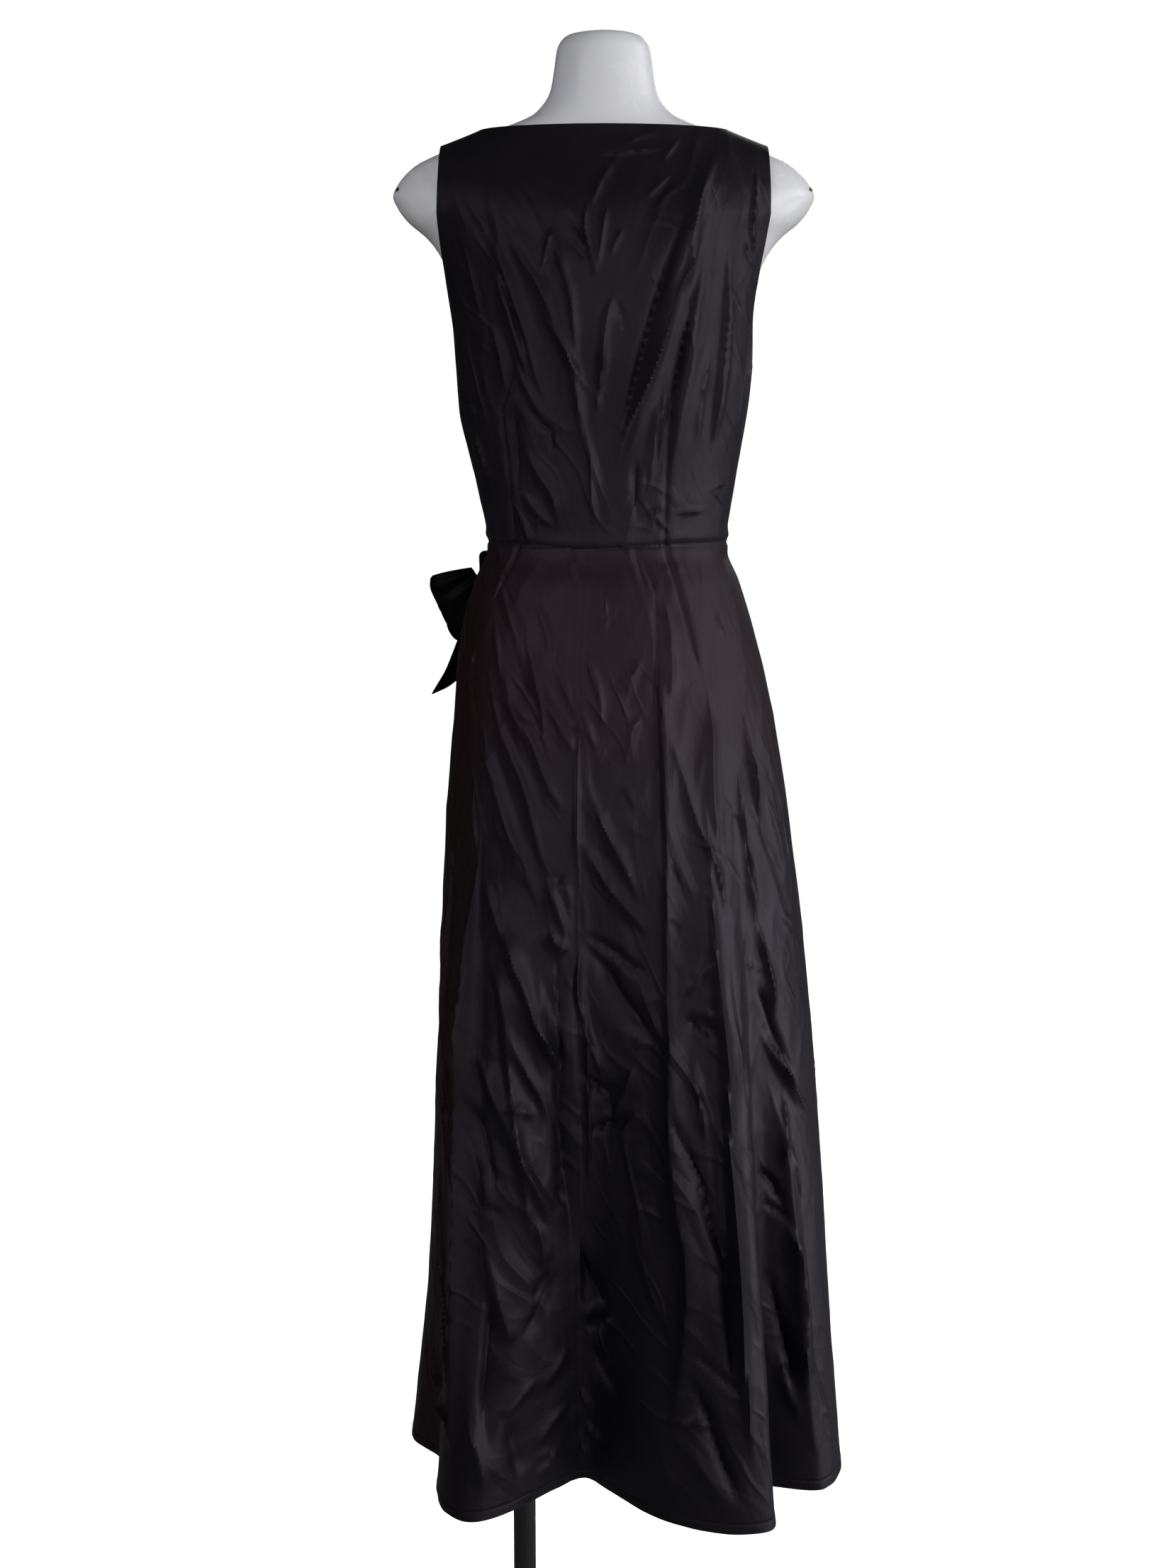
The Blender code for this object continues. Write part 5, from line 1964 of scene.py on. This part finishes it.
SKIRT_RIGHT_CREASES = creases([
    (-2.5, 16, 10, (-26.5, 1233), (-26, 1186), (-23, 1133), (-22, 1061), (-22, 994), (-21.5, 922)),
    (2.8, 10, 16, (-31.5, 1222), (-30, 1166), (-27.5, 1118)),
    (2.6, 6, 9, (-24.5, 1110), (-30, 1058), (-34, 1003), (-38, 967), (-40, 935), (-40.5, 903)),
    (2.6, 12, 12, (-46, 1143), (-43, 1079), (-40.5, 1019), (-40.5, 955)),
    (3, 10, 7, (-59, 1111), (-59.5, 1071), (-60.5, 1039), (-61.5, 987)),
    (2, 8, 8, (-55.5, 1071), (-53.5, 1007), (-54.5, 931), (-56, 875)),
    (1.8, 8, 7, (-67, 1023), (-69.5, 983), (-73.5, 923)),
    (2.2, 8, 9, (10, 1182), (5.5, 1154), (2, 1131), (1, 1087)),
    (1.5, 8, 7, (11, 1130), (7, 1099), (2, 1067)),
    (3, 12, 8, (9.5, 1059), (1, 1007), (-9, 960), (-16, 905)),
    (3, 9, 9, (10.5, 995), (5, 967), (-4, 936), (-12.5, 909), (-16, 893)),
    (-1.3, 6, 5, (7, 1214), (-5.5, 1203), (-16.5, 1180)),
    (-1, 5, 5, (-5, 1203), (-7, 1211), (-8.5, 1219)),
    (1.4, 7, 7, (-5, 1135), (-9, 1143), (-13, 1156)),
    (1.8, 8, 8, (-18.5, 1169), (-12.5, 1148), (-9, 1124)),
    (1.8, 10, 8, (-16, 1112), (-11.5, 1092), (-8, 1060)),
    (1.2, 6, 6, (0.5, 1234), (-1, 1214), (0.5, 1186)),
    (1.2, 6, 6, (3.5, 1055), (1, 1075), (-2, 1091)),
    (1.5, 6, 6, (-5, 1036), (-9, 1040), (-13.5, 1013)),
    (1, 5, 5, (-31, 1250), (-40, 1255), (-48.5, 1251)),
    (-1.2, 5, 5, (-22.5, 1260), (-26, 1245), (-27, 1230)),
    (1, 6, 6, (-57, 1211), (-56, 1195), (-60, 1183)),
    (-3, 15, 12, (10, 888), (1, 860), (-6, 829), (-12.5, 805), (-18, 782)),
    (-2.2, 8, 8, (10.5, 892), (2.5, 884), (-6, 869), (-12.5, 857), (-17, 849)),
    (-2.6, 8, 7, (10, 753), (4.5, 737), (-1, 729), (-6, 745)),
    (-1.8, 6, 6, (-1, 729), (-2, 713), (-3, 697)),
    (2, 9, 9, (-11.5, 765), (-8, 729), (-3, 701)),
    (-2.8, 6, 6, (6.5, 681), (0, 693), (-5, 697), (-11.5, 714)),
    (2, 7, 7, (9, 884), (10, 832), (7, 788)),
    (2.2, 10, 9, (10, 804), (4.5, 773), (-1, 741)),
    (-3, 12, 12, (9.5, 574), (8, 538), (1.5, 498), (-5.5, 487)),
    (2.8, 8, 8, (9, 490), (1, 486), (-5.5, 491)),
    (-2.6, 7, 7, (9, 478), (2.5, 474), (-4, 475)),
    (-2.2, 10, 9, (8.5, 466), (3, 435), (-3, 415), (-4.5, 407)),
    (2.2, 7, 7, (9, 363), (4.5, 355), (-1, 351)),
    (1.8, 7, 7, (9, 403), (8, 391), (3, 379)),
    (1.8, 7, 7, (9, 343), (8.5, 335), (5, 327)),
    (5.5, 10, 34, (-23, 994), (-22.5, 914), (-21.5, 838), (-21.5, 786), (-21, 710), (-21.2, 654),
     (-22, 619), (-23, 575), (-23, 543), (-22, 503), (-20.5, 459), (-18.5, 411), (-18, 367)),
    (-1.8, 5, 4, (-24.5, 814), (-29.5, 803), (-34.5, 787)),
    (-1.8, 4, 5, (-29.5, 811), (-31.5, 803), (-35.5, 791)),
    (-2, 6, 7, (-21, 738), (-22.5, 698), (-25, 675), (-27, 651)),
    (2, 6, 6, (-27, 775), (-27.5, 747), (-28.3, 711), (-28.5, 687)),
    (-2.8, 10, 10, (-33, 775), (-33, 727), (-32, 675), (-31.5, 607), (-30.5, 551), (-30, 463),
     (-30, 431)),
    (-2.4, 8, 7, (-22.5, 690), (-26.5, 655), (-28, 615), (-30, 579), (-31.5, 555)),
    (-1.7, 4, 4, (-21, 483), (-24, 475), (-27, 459), (-30.5, 443), (-35.5, 431)),
    (-3.2, 11, 9, (-21.5, 467), (-23, 435), (-24.5, 407), (-26, 375), (-28, 343), (-28.5, 324)),
    (1.6, 8, 8, (-18, 399), (-23, 407), (-25, 399)),
    (3, 8, 8, (-55, 583), (-56.5, 547), (-56, 483), (-54, 391)),
    (2.4, 8, 8, (-56, 899), (-57, 871), (-59, 827), (-60, 791)),
    (1.2, 4, 4, (-46, 865), (-52.5, 853), (-57.5, 847)),
    (-2.6, 5, 6, (-53.5, 839), (-57, 807), (-59.5, 775), (-66, 715)),
    (2.4, 7, 7, (-54.5, 779), (-58, 763), (-60.5, 727), (-65, 687)),
    (-2, 6, 6, (-41.5, 775), (-42.5, 739), (-43, 691), (-43.5, 655)),
    (1.8, 7, 7, (-59.5, 723), (-57.5, 675), (-55.5, 631)),
    (1.8, 7, 7, (-58.5, 663), (-59, 631), (-60.5, 599)),
    (-2.2, 6, 6, (-50, 645), (-53.5, 623), (-55.5, 591)),
    (-1.8, 5, 5, (-50.5, 607), (-54, 595), (-56, 583)),
    (-2.4, 7, 7, (-51, 535), (-52, 479), (-52.5, 427), (-52.5, 375)),
    (1.6, 6, 6, (-51.5, 451), (-52, 411), (-53, 367)),
    (1.6, 8, 8, (-56, 983), (-55.5, 939), (-55, 903)),
    (-1.6, 4, 4, (-23, 966), (-25.5, 954), (-27, 942)),
    (-1.6, 4, 4, (-22, 906), (-24.5, 902), (-26, 894)),
    (1.6, 7, 7, (-66.5, 899), (-71.5, 883), (-75, 867)),
    (1.8, 8, 8, (-35.5, 875), (-31, 855), (-24.5, 830)),
    (1.3, 5, 5, (-23.5, 818), (-29.5, 815), (-38, 815)),
    (3.4, 8, 20, (-28, 1222), (-25, 1146), (-24, 1062), (-23, 978), (-22, 906), (-21, 838)),
    (1.8, 4, 6, (-60, 1079), (-60, 1039), (-61, 987)),
    (-1.6, 5, 5, (-55, 1043), (-54.5, 975), (-55, 899)),
    (2.6, 14, 10, (-54.5, 747), (-56.5, 687), (-57, 627), (-56, 531), (-55, 459), (-54.5, 383),
     (-54, 324)),
    (3.4, 7, 13, *RIGHT_FLUTE),
    (2.4, 24, 14, *RIGHT_FLUTE),
    (3, 7, 12, *RIGHT_FLUTE[4:]),
    (2.2, 5, 6, (-52, 795), (-57, 755), (-60.5, 731), (-65.5, 699), (-73, 675)),
    (2.4, 6, 14, (7.5, 840), (7, 757), (6, 681), (6, 606)),
    (2.2, 6, 12, (11, 1110), (11, 1047), (10.5, 983), (9.5, 928)),
])
SKIRT_FRONT_CREASES = creases([
    (2.6, 14, 9, (108, 1130), (114, 1050), (120, 980), (128, 930)),
    (2.4, 9, 13, (104, 1010), (112, 930), (121, 850)),
    (-2.6, 12, 12, (116, 900), (122, 820), (131, 740), (136, 690)),
    (3.2, 15, 11, (126, 1080), (134, 990), (141, 900), (150, 830)),
    (2, 9, 9, (140, 1190), (147, 1120), (151, 1050)),
    (-1.6, 7, 7, (152, 1150), (158, 1100), (166, 1060)),
    (3, 14, 10, (146, 800), (152, 710), (158, 620), (166, 540)),
    (-3, 12, 12, (138, 640), (145, 560), (151, 480)),
    (2.6, 11, 9, (112, 680), (118, 590), (127, 500)),
    (3.4, 16, 12, (170, 1020), (174, 920), (180, 820), (188, 740)),
    (-2.4, 9, 9, (176, 700), (184, 640), (194, 600)),
    (2, 8, 8, (164, 460), (170, 420), (178, 400)),
    (2.8, 12, 12, (158, 450), (160, 390), (158, 330)),
    (2.4, 12, 10, (190, 1180), (186, 1110), (184, 1040)),
    (3, 12, 15, (212, 1100), (206, 1000), (202, 900), (194, 830)),
    (2.4, 9, 12, (224, 1140), (219, 1060), (212, 980)),
    (-2.6, 12, 12, (216, 880), (210, 790), (204, 700)),
    (3, 12, 14, (232, 940), (226, 840), (221, 740), (213, 660)),
    (-2, 8, 8, (206, 560), (200, 520), (192, 500)),
    (2.8, 12, 12, (236, 700), (230, 600), (226, 500)),
    (2.2, 10, 10, (200, 420), (196, 370), (195, 320)),
    (2.6, 12, 14, (246, 1120), (243, 1020), (238, 930)),
    (-2.4, 9, 10, (250, 860), (247, 780), (241, 700)),
    (3, 14, 12, (262, 1030), (258, 920), (254, 820), (250, 720)),
    (2.4, 11, 9, (268, 760), (262, 660), (258, 570)),
    (-2.2, 8, 8, (256, 540), (250, 490), (244, 460)),
    (2.6, 12, 10, (244, 450), (242, 390), (244, 330)),
    (1.4, 6, 6, (262, 1180), (254, 1165), (248, 1168)),
    (1.6, 7, 7, (118, 1180), (126, 1165), (133, 1170)),
    (2, 9, 9, (132, 420), (136, 370), (142, 330)),
])


# Each piece of cloth: its flat width and length, and its area less what is cut away.
CLOTH = {cloth.node: cloth for cloth in (
    ClothPiece("bodice_back", (0.41, 0.46), 0.16),
    ClothPiece("bodice_front", (0.42, 0.47), 0.15),
    ClothPiece("skirt_back_left", (0.50, 0.99), 0.33),
    ClothPiece("skirt_back_right", (0.56, 0.99), 0.37),
    ClothPiece("skirt_front", (0.90, 0.99), 0.62),
    ClothPiece("bow_loop_back", (0.070, 0.150), 0.0080, "gathered", "skirt_front_satin"),
    ClothPiece("bow_loop_front", (0.070, 0.175), 0.0095, "gathered", "skirt_front_satin"),
    ClothPiece("bow_tail_back", (0.070, 0.140), 0.0066, "gathered", "skirt_front_satin"),
    ClothPiece("bow_tail_front", (0.060, 0.190), 0.0062, "gathered", "skirt_front_satin"),
)}
BODICE = {
    "bodice_back": BodicePanel(
        Side.BACK, {1: Dart(0.439, 0.350, 1.465), -1: Dart(0.403, 0.357, 1.435)},
        BODICE_BACK_CREASES, seed=12, columns=168),
    "bodice_front": BodicePanel(
        Side.FRONT, {1: Dart(0.430, 0.360, 1.440), -1: Dart(0.430, 0.360, 1.440)},
        BODICE_FRONT_CREASES, seed=10, columns=130),
}
LEFT_SEAM, RIGHT_SEAM = TWIST + SIDE_SPAN, TWIST - SIDE_SPAN
SKIRT_PANELS = {
    "skirt_back_left": SkirtPanel(
        TWIST, LEFT_SEAM, [(46.0, 52.8, 1.214)], SKIRT_LEFT_CREASES,
        seam_puckers=(0.0009, 0.0004), tucks=(-0.0005, 0.0012)),
    "skirt_back_right": SkirtPanel(
        RIGHT_SEAM, TWIST, [(-28.1, -34.5, 1.148)], SKIRT_RIGHT_CREASES,
        seam_puckers=(0.0004, 0.0009), tucks=(0.0012, -0.0005)),
    "skirt_front": SkirtPanel(
        LEFT_SEAM, RIGHT_SEAM + 360, [(150.0, 144.0, 1.170), (226.0, 232.0, 1.170)],
        SKIRT_FRONT_CREASES, columns=192, step=0.0048),
}


def main() -> None:
    """Build each piece in order, dress it and light the studio."""
    logging.basicConfig(level=logging.INFO, format="%(message)s")
    satin = Satin("black satin").material()
    hemmed = Satin("black satin, hemmed", stitching=Stitching.HEM, leans=(-20.0, -16.0)).material()
    ribbon = Satin("black satin ribbon", (0.0020, 0.0019, 0.0020), hip=(0.0020, 0.0018, 0.0018),
                   warm_reflection=(0.0022, 0.0019, 0.0017), gloss=0.07, roughness=0.45).material()
    shell = GlossyShell("white shell").material()
    paint = DarkPaint("dark stand paint").material()

    declare(DressForm("form_shell").make(), "form_torso", shell)
    for node, panel in BODICE.items():
        CLOTH[node].declare(panel.make(f"{node}_satin"), satin)
    for node, panel in SKIRT_PANELS.items():
        CLOTH[node].declare(panel.make(f"{node}_satin"), hemmed)
    bow = Bow()
    for node, piece in bow.ribbons().items():
        CLOTH[node].declare(piece, ribbon)
    declare(bow.tie("bow_knot_satin"), "bow_knot", ribbon)

    for node in ("pole", "pole_collar", "base_plate"):
        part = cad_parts[node]
        part.data.materials.clear()
        part.data.materials.append(paint)

    studio = Studio()
    studio.floor()
    studio.lights()
    studio.camera()


if __name__ == "__main__":
    main()
